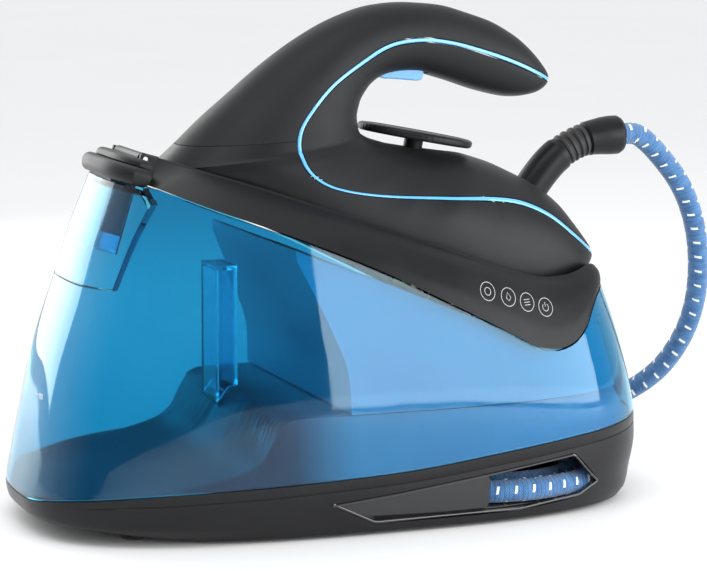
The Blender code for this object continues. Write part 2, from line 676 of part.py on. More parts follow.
def build_filler(blue, dark, clear):
    """The filler section over the left end, its chute, and the scale filter inside the chute."""
    edge = FILLER_HALF - GAP
    columns = [edge * math.sin(0.5 * math.pi * (2 * i / 18 - 1)) for i in range(19)]
    outer, inner = [], []
    heights = (0.0, 0.28, 0.56, 0.84, 0.92, 1.0)
    for share in heights:
        outer += [filler_wall(y, share) for y in columns]
        drop = Vector((0, 0, WALL if share == 1.0 else 0.0))
        inner += [filler_wall(y, share, WALL) - drop for y in columns]
    for share in (0.5, 1.0):
        for y in columns:
            corner = filler_wall(y, 1.0)
            x = corner.x + (COVER_FRONT - GAP - corner.x) * share
            outer.append(Vector((x, corner.y, filler_height(x))))
            inner.append(Vector((x, corner.y, filler_height(x) - WALL)))
    section = thick_sheet("filler_section", outer, inner, grid_faces(len(heights) + 2, len(columns)), blue)
    frame = deck_frame()
    cut(section, block("filler_mouth", (*MOUTH_LOW, -0.040), (*MOUTH_HIGH, 0.0), None, frame))
    u0, y0 = MOUTH_LOW
    u1, y1 = MOUTH_HIGH
    grow = 0.0009
    box_tube("filler_chute", (u0 - grow, y0 - grow), (u1 + grow, y1 + grow), FILLER_PLATE - WALL - 0.0004, -0.0640,
             0.0009, clear, frame)
    box_tube("scale_filter", (u0 + 0.0004, y0 + 0.0004), (u1 - 0.0004, y1 - 0.0004), FILLER_PLATE - GAP, -0.0530,
             0.0016, dark, frame, bottom=0.002)


def build_housing(grey):
    """The closed housing that keeps the boiler out of the water: a tube wall with a square left end."""
    outer, inner = [], []
    edge = curve_through([(0.045, -0.026), (0.070, -0.019), (0.095, -0.020), (0.125, -0.030), (0.165, -0.048)])
    rough = clipped_outline(0.12, WALL + 0.004, -0.03, HOUSING_COUNT)
    tops = [min(deck_height(p.x) - 0.024, COVER_EDGE(max(p.x, -0.05)) - 2 * GAP) for p in rough]
    for share in (0.0, 0.25, 0.5, 0.75, 1.0):
        for i, top in enumerate(tops):
            z = 0.0735 + (top - 0.0735) * share
            back = BASE_RIGHT * RIGHT_LEAN(z) - 0.022
            outer.append(clipped_outline(z, WALL + 0.005, edge(z), HOUSING_COUNT, back)[i])
            inner.append(clipped_outline(z, WALL + 0.007, edge(z) + 0.002, HOUSING_COUNT, back - 0.002)[i])
    thick_sheet("inner_housing", outer, inner, grid_faces(5, HOUSING_COUNT + 1, closed=True), grey)


def deck_height(x, w=0.0):
    tilt = math.radians(DECK_TILT)
    u = (x - DECK_ORIGIN[0] - w * math.sin(tilt)) / math.cos(tilt)
    return DECK_ORIGIN[2] - u * math.sin(tilt) + w * math.cos(tilt)


# the deck cover's rim round the iron, in mm: u, y, w
RIM = [(290, 0, 6), (289, 18, 6.5), (284, 36, 8), (275, 49, 8.5), (264, 57, 2), (250, 61.5, -4.5), (230, 65.5, -8),
       (205, 67.5, -7.5), (171, 66.5, -6), (130, 62.5, -4), (91, 56, -3), (54, 47, -2), (25, 35, -2),
       (6, 23, -2), (-6, 11, -2), (-9.5, 0, -2)]


def outline_fractions(points, count):
    """Points at equal distances along a dense list, from its first to its last."""
    run = [0.0]
    for a, b in zip(points, points[1:]):
        run.append(run[-1] + (b - a).length)
    out, k = [], 0
    for i in range(count + 1):
        want = run[-1] * i / count
        while k < len(run) - 2 and run[k + 1] < want:
            k += 1
        part = (want - run[k]) / max(run[k + 1] - run[k], 1e-9)
        out.append(points[k].lerp(points[k + 1], min(max(part, 0.0), 1.0)))
    return out


def moved_in(ring, distance):
    """A closed outline drawn in by a distance, square to itself in plan."""
    out = []
    for i, p in enumerate(ring):
        along = ring[(i + 1) % len(ring)] - ring[i - 1]
        inward = Vector((-along.y, along.x, 0)).normalized()
        out.append(p + inward * distance)
    return out


def cover_lower_edge(count):
    """Half of the deck cover's lower edge, from the +X end along the +Y side to the front's middle."""
    dense = []
    for i in range(361):
        a = math.pi * i / 360
        p = wall_at(a, lambda x: COVER_EDGE(max(x, COVER_FRONT)) + GAP)
        x = max(p.x, COVER_FRONT)
        dense.append(Vector((x, p.y, COVER_EDGE(x) + GAP)))
    dense[0].y = dense[-1].y = 0.0
    return outline_fractions(dense, count)


def rim_curve(count, inset=0.0, rise=0.0):
    points = [Vector((u / 1000 * LENGTH_SHARE, y / 1000 * WIDTH_SHARE, w / 1000)) for u, y, w in RIM]
    before = Vector((points[1].x, -points[1].y, points[1].z))
    after = Vector((points[-2].x, -points[-2].y, points[-2].z))
    chain = [before] + points + [after]
    dense = []
    for i in range(1, len(chain) - 2):
        for k in range(20):
            t = k / 20
            a, b, c, d = chain[i - 1], chain[i], chain[i + 1], chain[i + 2]
            dense.append(0.5 * (2 * b + (c - a) * t + (2 * a - 5 * b + 4 * c - d) * t * t
                                + (3 * b - a - 3 * c + d) * t ** 3))
    dense.append(points[-1].copy())
    centre = Vector((0.140 * LENGTH_SHARE, 0, 0))
    out = []
    for p in outline_fractions(dense, count):
        flat = Vector((p.x - centre.x, p.y, 0))
        grow = 1 + inset / flat.length
        out.append(Vector((centre.x + flat.x * grow, flat.y * grow, p.z + rise)))
    return out


def mirrored(half):
    """The whole closed outline from its +Y half."""
    other = [Vector((p.x, -p.y, p.z)) for p in reversed(half[1:-1])]
    return half + other


def build_cover(black):
    """The black deck cover: side skirt, rim round the iron, well and deck plate, as one wall."""
    half = 34
    low_out = mirrored(cover_lower_edge(half))
    low_in = moved_in(low_out, WALL)
    rim_out = [from_deck(*p) for p in mirrored(rim_curve(half, 0.0035))]
    rim_top = [from_deck(*p) for p in mirrored(rim_curve(half, 0.0012, 0.0008))]
    rim_in = [from_deck(*p) for p in mirrored(rim_curve(half, 0.0, 0.0))]
    rim_under = [from_deck(*p) for p in mirrored(rim_curve(half, 0.0010, -0.0035))]

    def well_point(p, w):
        return from_deck(p.x + 0.0045 * smooth_step((0.012 - p.x) / 0.02), p.y, w)

    well = [well_point(p, DECK_PLATE) for p in mirrored(rim_curve(half, -0.0008))]
    well_under = [well_point(p, DECK_PLATE - 0.002) for p in mirrored(rim_curve(half, 0.0014))]

    def bulged(a, b, share, bulge):
        p = a.lerp(b, share)
        away = Vector((p.x - 0.02, p.y, 0.06)).normalized()
        return p + away * bulge * smooth_step((p.x + 0.120) / 0.04) * min(abs(b.z - a.z) / 0.03, 1.0)

    outer, inner = list(low_out), list(low_in)
    for share, bulge in ((0.30, 0.0035), (0.62, 0.0045), (0.85, 0.0028)):
        outer += [bulged(a, b, share, bulge) for a, b in zip(low_out, rim_out)]
        inner += [bulged(a, b, share, bulge) for a, b in zip(low_in, rim_under)]
    outer += rim_out
    inner += [p.copy() for p in rim_under]
    outer += rim_top
    inner += [a.lerp(b, 0.15) for a, b in zip(rim_under, well_under)]
    outer += rim_in
    inner += [a.lerp(b, 0.30) for a, b in zip(rim_under, well_under)]
    outer += well
    inner += well_under
    count = len(low_out)
    rows = len(outer) // count
    faces = grid_faces(rows, count, closed=True)
    faces.append(tuple((rows - 1) * count + i for i in range(count)))
    cover = thick_sheet("deck_cover", outer, inner, faces, black)
    frame = deck_frame()
    for side in (-1, 1):
        y = side * EAR_PLACE
        ear = block(f"ear_{side}", (LID_AXIS[0] - 0.0030, y - 0.002, LID_AXIS[1] - 0.0115),
                    (LID_AXIS[0] + 0.0075, y + 0.002, LID_AXIS[1] + 0.0025), None, frame)
        cut(cover, ear, "UNION")
    bore = turned("pin_bore", (LID_AXIS[0], -0.034, LID_AXIS[1]), (0, 1, 0),
                  [(0, PIN_RADIUS + GAP), (0.068, PIN_RADIUS + GAP)], None, frame)
    cut(cover, bore)


def build_rest(silicone):
    outline = []
    for i in range(33):
        v = i / 32
        u = 0.004 + (0.262 - 0.004) * (0.5 - 0.5 * math.cos(math.pi * v))
        outline.append((u * LENGTH_SHARE, 0.5 * IRON_WIDTH * PLAN(min(u / 0.297, 1)) * 0.80))
    full = outline + [(u, -y) for u, y in reversed(outline)]
    slab("iron_rest", full, DECK_PLATE + GAP, DECK_PLATE + GAP + 0.0008, silicone, deck_frame())


def lid_outline(grow, front, count=20):
    """The lid's plan in the deck frame: the outer form's left end, square at its hinge side."""
    half = LID_HALF + grow
    along = BASE_LEFT * LEFT_LEAN(0.215) + grow
    across = 0.5 * BASE_WIDTH * SIDE_LEAN(0.215) + grow
    ring = [(front, -half)]
    for i in range(count + 1):
        y = half * math.sin(0.5 * math.pi * (2 * i / count - 1))
        x = -along * (1 - (abs(y) / across) ** PLAN_POWER) ** (1 / PLAN_POWER)
        ring.append(((x - DECK_ORIGIN[0]) / math.cos(math.radians(DECK_TILT)) + 0.004, y))
    return ring + [(front, half)]


def build_lid(black, rubber, steel, frame, base_frame):
    """The filler's flap lid: a thick lower flap, a thin top plate, a seal, and its hinge pin."""
    axis = (LID_AXIS[0], 0.0, LID_AXIS[1])

    def layer(name, levels, mat, front, grow):
        rings = []
        for w, inset in levels:
            rings.append([Vector((u, y, w)) for u, y in lid_outline(grow - inset, front - inset)])
        return loft(name, rings, mat, frame, axis)

    flap = layer("filler_lid", ((-0.0205, 0.0030), (-0.0180, 0.0008), (-0.0140, 0.0), (-0.0110, 0.0010),
                                (-0.0095, 0.0035)), black, LID_AXIS[0] + 0.0015, LID_OVERHANG)
    cap = layer("lid_cap", ((-0.0092, 0.0), (-0.0062, 0.0004), (-0.0045, 0.0030)), black,
                LID_AXIS[0] + 0.0024, -0.0015)
    for side in (-1, 1):
        y = side * EAR_PLACE
        low = (LID_AXIS[0] - 0.0042, y - 0.0030, LID_AXIS[1] - 0.0175)
        high = (LID_AXIS[0] + 0.0120, y + 0.0030, LID_AXIS[1] + 0.0040)
        notch = block(f"ear_notch_{side}", low, high, None, base_frame)
        cut(flap, notch)
        cut(cap, notch)
    barrel = turned("lid_barrel", (LID_AXIS[0], -0.0260, LID_AXIS[1]), (0, 1, 0),
                    [(0, 0.0032), (0.0520, 0.0032)], None, base_frame, count=16)
    cut(cap, barrel, "UNION")
    bore = turned("lid_bore", (LID_AXIS[0], -0.0400, LID_AXIS[1]), (0, 1, 0),
                  [(0, PIN_RADIUS + GAP), (0.0800, PIN_RADIUS + GAP)], None, base_frame)
    cut(cap, bore)
    turned("lid_hinge_pin", (LID_AXIS[0], -0.0325, LID_AXIS[1]), (0, 1, 0),
           [(0, PIN_RADIUS), (0.065, PIN_RADIUS)], steel, base_frame, count=12)
    box_tube("lid_seal", (-0.0318, -0.0240), (-0.0156, 0.0240), -0.0208, FILLER_PLATE + GAP, 0.0018, rubber, frame,
             axis)


DECK_FRAME = {}


def deck_frame(name="deck_frame", location=None):
    if name not in DECK_FRAME:
        empty = bpy.data.objects.new(name, None)
        bpy.context.scene.collection.objects.link(empty)
        empty.location = location or DECK_ORIGIN
        empty.rotation_euler = (0, math.radians(DECK_TILT), 0)
        DECK_FRAME[name] = empty
    return DECK_FRAME[name]


# ---------------------------------------------------------------- inside the base
PUMP_PLACE = (0.0500, -0.0450, 0.0560)
VALVE_PLACE = (0.0700, 0.0500, 0.0900)
BOILER_PLACE = (0.0650, -0.0050)
BOILER_RADIUS = 0.0380
SOCKET_PLACE = (0.1022, 0.0480)


def build_internals(steel, copper, white, green, black, teal):
    """The pump, boiler, valve, pipes, board and water intake inside the base."""
    x, y = BOILER_PLACE
    r = BOILER_RADIUS
    turned("boiler", (x, y, 0.0800), (0, 0, 1), [(0, r - 0.004), (0.004, r), (0.030, r), (0.038, r - 0.007),
                                                 (0.041, 0.012), (0.043, 0.008)], steel, count=28)
    turned("boiler_heater", (x, y, 0.0745), (0, 0, 1), [(0, 0.030), (0.0050, 0.030)], copper, count=24,
           bore=[(0, 0.022), (0.0050, 0.022)])
    px, py, pz = PUMP_PLACE
    turned("pump", (px - 0.0400, py, pz - 0.0030), (1, 0, 0),
           [(0, 0.006), (0.010, 0.006), (0.0105, 0.0135), (0.045, 0.0135), (0.0455, 0.009), (0.060, 0.009),
            (0.0605, 0.005), (0.072, 0.005)], white)
    vx, vy, vz = VALVE_PLACE
    turned("solenoid_valve", (vx, vy + 0.012, vz - 0.0100), (0, 0, 1),
           [(0, 0.007), (0.006, 0.007), (0.0065, 0.0115), (0.026, 0.0115), (0.0265, 0.006), (0.031, 0.006)], copper)
    pipe = spline_points([(x, y, 0.1242), (x, y, 0.1272), (x + 0.001, y + 0.004, 0.1290), (vx, vy - 0.020, 0.1290),
                          (vx, vy + 0.008, 0.1270), (vx, vy + 0.012, 0.1190), (vx, vy + 0.012, 0.1115)], 0.006)
    tube_along("steam_pipe", pipe, [0.003] * len(pipe), copper, count=10)
    feed = spline_points([(px - 0.0404, py, pz - 0.003), (px - 0.060, py, pz - 0.003), (-0.028, -0.030, 0.0560),
                          (-0.040, -0.006, 0.0560)], 0.006)
    tube_along("pump_tube", feed, [0.0028] * len(feed), white, count=10)
    block("control_board", (0.1220, -0.0520, 0.0760), (0.1238, 0.0300, 0.1050), green)
    sx, sy = SOCKET_PLACE
    turned("hose_socket", (sx, sy * BASE_SHARE, HOSE_REST), (-1, 0, 0),
           [(0, 0.0066), (0.004, 0.0066), (0.0045, 0.0048), (0.020, 0.0048)], copper, count=16)
    outline = [(-0.0680, 0.0640), (-0.0600, 0.0735), (-0.0540, 0.0745), (-0.0540, 0.1500), (-0.0680, 0.1500)]
    tower = prism("water_intake", outline, 0.0120, 0.0420, teal)
    pocket = [(x + (0.0022 if x < -0.061 else -0.0022), z + (-0.0020 if z < 0.1 else -0.0030)) for x, z in outline]
    cut(tower, prism("intake_hollow", pocket, 0.0140, 0.0400, None))


def build_fittings(black, steel, rubber, amber):
    """What the tray carries: button, lens, inlet, drain cap and feet."""
    y, z = BUTTON_PLACE
    face = BASE_RIGHT * RIGHT_LEAN(z) - 0.0005
    turned("power_button", (face - 0.0120, y, z), (1, 0, 0),
           [(0, 0.5 * BUTTON_DIAMETER - GAP), (0.0120, 0.5 * BUTTON_DIAMETER - GAP),
            (0.0132, 0.5 * BUTTON_DIAMETER - 0.0018)], black)
    y, z = LENS_PLACE
    turned("indicator_lens", (face - 0.0060, y, z), (1, 0, 0),
           [(0, LENS_RADIUS - GAP), (0.0062, LENS_RADIUS - GAP), (0.0068, LENS_RADIUS - 0.0012)], amber, count=12)
    x, z = INLET_PLACE
    side = base_wall(math.radians(110), z).y
    turned("mains_inlet", (x, side - 0.0120, z), (0, 1, 0),
           [(0, INLET_RADIUS - GAP), (0.0100, INLET_RADIUS - GAP), (0.0120, INLET_RADIUS - 0.0015)], rubber,
           bore=[(0, 0.0038), (0.0120, 0.0038)])
    x, z = DRAIN_PLACE
    turned("drain_cap", (x, side - 0.0100, z), (0, 1, 0),
           [(0, DRAIN_RADIUS - GAP), (0.0110, DRAIN_RADIUS - GAP), (0.0125, DRAIN_RADIUS - 0.0018)], black,
           origin=(x, side - 0.0100, z), count=24)
    for i, (x, y) in enumerate(((-0.1420, -0.0560), (-0.1420, 0.0560), (0.1380, -0.0600), (0.1380, 0.0600))):
        turned(f"foot_{i + 1}", (x, y, 0.0), (0, 0, 1), [(0, 0.0075), (0.0006, 0.0085), (BASE_FOOT - GAP, 0.0085)],
               rubber, count=16)


# ---------------------------------------------------------------- the iron
COVER_START = 0.60           # stations where the iron's end pieces give way to its covers
COVER_END = 28.60


def iron_rows(start, end, step):
    count = max(int(round((end - start) / step)), 1)
    return [start + (end - start) * i / count for i in range(count + 1)]


def across_gap(s, distance):
    """A distance along the section line, as a share of its length."""
    inner, outer, _, _ = iron_section(s)
    return distance / max((outer - inner).length, 1e-4)


def iron_panel(name, rows, first, last, columns, mat, frame, middle_open):
    """A wall of the iron between two shares of each section, on both sides."""
    outer, inner = [], []
    for s in rows:
        a, b = first(s), last(s)
        shares = [a + (b - a) * (1 - math.cos(0.5 * math.pi * j / columns)) if b < a
                  else a + (b - a) * math.sin(0.5 * math.pi * j / columns) for j in range(columns + 1)]
        for side, line in ((-1, shares), (1, shares[::-1])):
            outer += [iron_point(s, t, side) for t in line]
            inner += [iron_point(s, t, side, SHELL) for t in line]
    width = 2 * (columns + 1)
    skip = (lambda i, j: j == columns) if middle_open else None
    return thick_sheet(name, outer, inner, grid_faces(len(rows), width, skip=skip), mat, frame)


def build_shells(black, satin, blue, frame):
    trim = share_curve()
    gap = TRIM_HALF + 2 * GAP

    def above(s):
        return min(trim(s) + across_gap(s, gap), 0.97)

    def below(s):
        return max(trim(s) - across_gap(s, gap), 0.03)

    seam_gap = 0.012
    iron_panel("body_shell", iron_rows(SEAM_STATION + seam_gap, TIP_STATION, 0.5)
               + iron_rows(TIP_STATION + 0.25, COVER_END, 0.55), above, lambda s: 1.0, 6, black, frame, True)
    iron_panel("handle_cover", iron_rows(COVER_START, SEAM_STATION - seam_gap, 0.6), above, lambda s: 1.0, 6,
               black, frame, True)
    inner = iron_panel("inner_cover", iron_rows(COVER_START, COVER_END, 0.9), below, lambda s: 0.0, 5, satin,
                       frame, True)
    for side, name in ((-1, "trim_strip_near"), (1, "trim_strip_far")):
        rings = []
        for s in iron_rows(COVER_START, COVER_END, 0.45):
            half = across_gap(s, TRIM_HALF - 0.0001)
            t = trim(s)
            rings.append([iron_point(s, t - half, side, -TRIM_PROUD), iron_point(s, t + half, side, -TRIM_PROUD),
                          iron_point(s, t + half, side, 0.0012), iron_point(s, t - half, side, 0.0012)])
        loft(name, rings, blue, frame)
    for name, rows in (("handle_end_cap", iron_rows(0.04, COVER_START - 0.10, 0.12)),
                       ("heel_cap", iron_rows(COVER_END + 0.08, LAST, 0.1))):
        rings = []
        for s in rows:
            line = [0.5 - 0.5 * math.cos(math.pi * j / 8) for j in range(9)]
            ring = [iron_point(s, t, -1) for t in line]
            ring += [iron_point(s, t, 1) for t in line[::-1]]
            ring = [p for k, p in enumerate(ring) if (p - ring[k - 1]).length > 2e-5]
            rings.append(ring)
        rings = [ring for ring in rings if len(ring) == len(rings[0])]
        loft(name, rings, black, frame)
    return inner


def plan_half(u):
    return 0.5 * IRON_WIDTH * PLAN(min(max(u / IRON_LENGTH, 0), 1))


def sole_outline(front, back, inset, count=30):
    """A closed plan outline of the iron between two u values, drawn in by a distance."""
    side = []
    for i in range(count + 1):
        u = front + (back - front) * (0.5 - 0.5 * math.cos(math.pi * i / count))
        near_end = math.sqrt(max(1 - max((u - back + 0.030) / 0.030, 0) ** 2, 0.0))
        near_tip = smooth_step((u - front) / 0.012 + 0.06)
        side.append((u, max(plan_half(u) - inset, 0.0004) * near_end * near_tip + 0.0002))
    return side + [(u, -y) for u, y in reversed(side)]


def build_sole(steel, aluminium, heat_grey, copper, frame):
    """Soleplate, steam casting with its heater, and the heat shield between sole and shell."""
    slab("soleplate", sole_outline(0.0015, 0.270 * LENGTH_SHARE, 0.0012), SOLE_TOP - SOLE_THICK, SOLE_TOP, steel, frame,
         chamfer=0.0008)
    slab("steam_casting", sole_outline(0.030 * LENGTH_SHARE, 0.235 * LENGTH_SHARE, 0.0190), SOLE_TOP + GAP, 0.0040, aluminium, frame)
    loop = [(0.225, -0.016, 0.0082), (0.150, -0.020, 0.0082), (0.085, -0.013, 0.0082), (0.066, 0.0, 0.0082),
            (0.085, 0.013, 0.0082), (0.150, 0.020, 0.0082), (0.225, 0.016, 0.0082)]
    path = spline_points([(u * LENGTH_SHARE, y * WIDTH_SHARE, w) for u, y, w in loop], 0.009)
    rings = []
    for i, p in enumerate(path):
        ahead = (path[min(i + 1, len(path) - 1)] - path[max(i - 1, 0)]).normalized()
        rings.append(circle(p, 0.0036, ahead, 10, (0, 0, 1)))
    loft("sole_heater", rings, copper, frame)
    outer, inner = [], []
    rows = iron_rows(TIP_STATION + 0.3, COVER_END - 0.6, 0.6)
    for s in rows:
        _, low, _, edge = iron_section(s)
        half = max(edge - 0.0010, 0.0005)
        hole = 0.0
        front, end = 0.024 * LENGTH_SHARE, 0.243 * LENGTH_SHARE
        if front < low.x < end:
            hole = max(half - 0.0140, 0.0) * smooth_step(min(low.x - front, end - low.x) / 0.012)
        z = low.z - GAP
        for side in (-1, 1):
            line = [half, half * 0.7 + hole * 0.3, hole]
            for y in (line if side < 0 else line[::-1]):
                outer.append(Vector((low.x, side * y, z - 0.0016)))
                inner.append(Vector((low.x, side * y, z)))
    thick_sheet("heat_shield", outer, inner, grid_faces(len(rows), 6, skip=lambda i, j: j == 2), heat_grey, frame)


def build_controls(black, blue, steel, white, brass, frame):
    """Trigger with its pin and switch, and the dial with the thermostat below it; returns their cutters."""
    u, w = TRIGGER_PIVOT
    u *= LENGTH_SHARE
    profile = [(-0.0040, -0.0012), (-0.0010, -0.0058), (0.0040, -0.0064), (0.0120, -0.0044), (0.0200, -0.0028),
               (0.0265, -0.0015), (0.0296, 0.0000), (0.0290, 0.0060), (0.0240, 0.0075), (0.0120, 0.0060),
               (0.0030, 0.0052), (-0.0035, 0.0035)]
    outline = [(u + a, w + b) for a, b in profile]
    half = 0.5 * TRIGGER_WIDTH
    trigger = prism("trigger", outline, -half, half, blue, frame, (u, 0, w))
    bevel = trigger.modifiers.new("Rounded edges", "BEVEL")
    bevel.width = 0.0008
    bevel.segments = 2
    cut(trigger, turned("trigger_bore", (u, -0.012, w), (0, 1, 0), [(0, 0.0013 + GAP), (0.024, 0.0013 + GAP)],
                        None, frame, count=12))
    turned("trigger_pin", (u, -half - 0.0020, w), (0, 1, 0), [(0, 0.0013), (TRIGGER_WIDTH + 0.0040, 0.0013)], steel,
           frame, count=10)
    slot_half = half + TRIGGER_SLACK
    slot = block("trigger_slot", (u - 0.0066, -slot_half, w - 0.0140), (u + 0.0324, slot_half, w + 0.0125), None,
                 frame)
    block("steam_switch", (u + 0.0100, -0.0050, w + 0.0130), (u + 0.0270, 0.0050, w + 0.0210), white, frame,
          bevel=0.0006)
    cu, cw = DIAL_CENTRE
    cu *= LENGTH_SHARE
    tilt = math.radians(DIAL_TILT)
    axis = Vector((-math.sin(tilt), 0, math.cos(tilt)))
    top = Vector((cu, 0, cw))
    radius = 0.5 * DIAL_DIAMETER
    low = top - axis * DIAL_THICK
    shaft = 0.5 * DIAL_SHAFT
    turned("dial", low - axis * 0.0120, axis,
           [(0, shaft), (0.0118, shaft), (0.0120, radius - 0.0016), (0.0132, radius),
            (0.0120 + DIAL_THICK - 0.0016, radius), (0.0120 + DIAL_THICK - 0.0003, radius - 0.0016),
            (0.0120 + DIAL_THICK, radius - 0.0060)], black, frame, tuple(low), count=40)
    bore = turned("dial_bore", low - axis * 0.0250, axis, [(0, shaft + 0.0004), (0.0300, shaft + 0.0004)], None,
                  frame, count=24)
    turned("thermostat", low - axis * 0.0340, axis, [(0, 0.0110), (0.0120, 0.0110), (0.0125, 0.0040),
                                                     (0.0216, 0.0040)], brass, frame)
    return [slot, bore]


# u, w along the hose guard's middle, from inside the iron to the hose's exit
GUARD_PATH = [(0.2425, 0.0340), (0.2455, 0.0450), (0.2495, 0.0560), (0.2550, 0.0670), (0.2625, 0.0765),
              (0.2720, 0.0845), (0.2830, 0.0900), (0.2955, 0.0945)]
GUARD_STEP = 0.0027
RELIEF_START = 0.50                  # shares of the path at which the ribbed relief and the sleeve start
SLEEVE_START = 0.71
GUARD_SHIFT = GUARD_PATH[0][0] * (LENGTH_SHARE - 1)    # how far a change of the iron's length moves it, in u


def build_gland(black, rubber, frame):
    """Hose guard on the heel: a socket, a ribbed relief and a flared sleeve, bored; returns its cutter."""
    whole = spline_points([(u + GUARD_SHIFT, 0, w) for u, w in GUARD_PATH], GUARD_STEP)
    ways = directions(whole)
    last = len(whole) - 1
    radius = 0.5 * GLAND_DIAMETER
    wide = 0.5 * SLEEVE_DIAMETER
    hole = 0.5 * HOSE_DIAMETER

    def piece(name, first, final, radii, bore, mat):
        path = [p.copy() for p in whole[first:final + 1]]
        if first:
            path[0] += ways[first] * GAP
        tube_along(name, path, radii, mat, frame, bore=[bore] * len(path), ways=ways[first:final + 1])

    one = int(round(RELIEF_START * last))
    two = int(round(SLEEVE_START * last))
    piece("hose_guard", 0, one, [radius] * (one + 1), hole - 0.002, black)
    ribs = [radius + (0.0006 if i % 4 in (1, 2) else -0.0016) for i in range(two - one + 1)]
    piece("hose_relief", one, two, ribs, hole - 0.002, rubber)
    flare = [radius + (wide - radius) * smooth_step(1.3 * i / (last - two)) for i in range(last - two + 1)]
    flare[-1] = wide - 0.0012
    piece("hose_sleeve", two, last, flare, hole + 2 * GAP, black)
    inside = [whole[0] - ways[0] * 0.008] + whole[:max(one // 2, 2)]
    bore = tube_along("guard_bore", inside, [radius + GAP] * len(inside), None, frame)
    inner = spline_points([(u + GUARD_SHIFT, 0, w) for u, w in ((0.2180, 0.0080), (0.2260, 0.0150), (0.2360, 0.0220),
                                                                (0.2410, 0.0290))], 0.005)
    tube_along("iron_steam_tube", inner, [0.0030] * len(inner), rubber, frame, count=10)
    return bore


# ---------------------------------------------------------------- the hose
# from the sleeve round behind the +X end, in through the far window, one and a half turns in the bay
HOSE_ROUTE = [(0.2026, 0.0000, 0.2252), (0.2180, 0.0040, 0.2235), (0.2360, 0.0080, 0.2090),
              (0.2540, 0.0120, 0.1880), (0.2670, 0.0180, 0.1630), (0.2750, 0.0260, 0.1350),
              (0.2780, 0.0360, 0.1060), (0.2750, 0.0480, 0.0800), (0.2660, 0.0640, 0.0560),
              (0.2510, 0.0830, 0.0380), (0.2300, 0.0990, 0.0270), (0.2030, 0.1090, HOSE_REST + 0.0027),
              (0.1700, 0.1110, HOSE_REST + 0.0005), (0.1380, 0.1040, HOSE_REST), (0.1100, 0.0935, HOSE_REST),
              (0.0820, 0.0860, HOSE_REST), (0.0560, 0.0740, HOSE_REST), (0.0360, 0.0480, HOSE_REST),
              (0.0290, 0.0100, HOSE_REST), (0.0300, -0.0300, HOSE_REST), (0.0410, -0.0640, HOSE_REST),
              (0.0640, -0.0850, HOSE_REST), (0.0960, -0.0915, HOSE_REST), (0.1260, -0.0845, HOSE_REST),
              (0.1530, -0.0690, HOSE_REST), (0.1740, -0.0420, HOSE_REST), (0.1800, -0.0050, HOSE_REST),
              (0.1740, 0.0340, HOSE_REST), (0.1540, 0.0620, HOSE_REST), (0.1220, 0.0720, HOSE_REST),
              (0.0880, 0.0660, HOSE_REST), (0.0640, 0.0500, HOSE_REST), (0.0500, 0.0200, HOSE_REST),
              (0.0490, -0.0200, HOSE_REST), (0.0620, -0.0520, HOSE_REST), (0.0900, -0.0700, HOSE_REST),
              (0.1240, -0.0660, HOSE_REST), (0.1500, -0.0440, HOSE_REST), (0.1600, -0.0080, HOSE_REST),
              (0.1525, 0.0200, HOSE_REST), (0.1320, 0.0405, HOSE_REST), (0.1040, 0.0480, HOSE_REST)]
FREE_POINTS = 8              # route points that give way when the iron's length moves the hose's start


def hose_points():
    """The route for this base's width and this iron's length."""
    moved = from_deck(GUARD_SHIFT, 0, 0) - from_deck(0, 0, 0)
    return [Vector((x, y * BASE_SHARE, z)) + moved * smooth_step(1 - i / FREE_POINTS)
            for i, (x, y, z) in enumerate(HOSE_ROUTE)]


def build_hose(fabric):
    points = spline_points(hose_points(), 0.0245)
    curve = bpy.data.curves.new("steam_hose", "CURVE")
    curve.dimensions = "3D"
    curve.bevel_depth = 0.5 * HOSE_DIAMETER
    curve.bevel_resolution = 2
    curve.use_fill_caps = True
    spline = curve.splines.new("POLY")
    spline.points.add(len(points) - 1)
    for slot, p in zip(spline.points, points):
        slot.co = (*p, 1)
    obj = bpy.data.objects.new("steam_hose", curve)
    bpy.context.scene.collection.objects.link(obj)
    curve.materials.append(fabric)


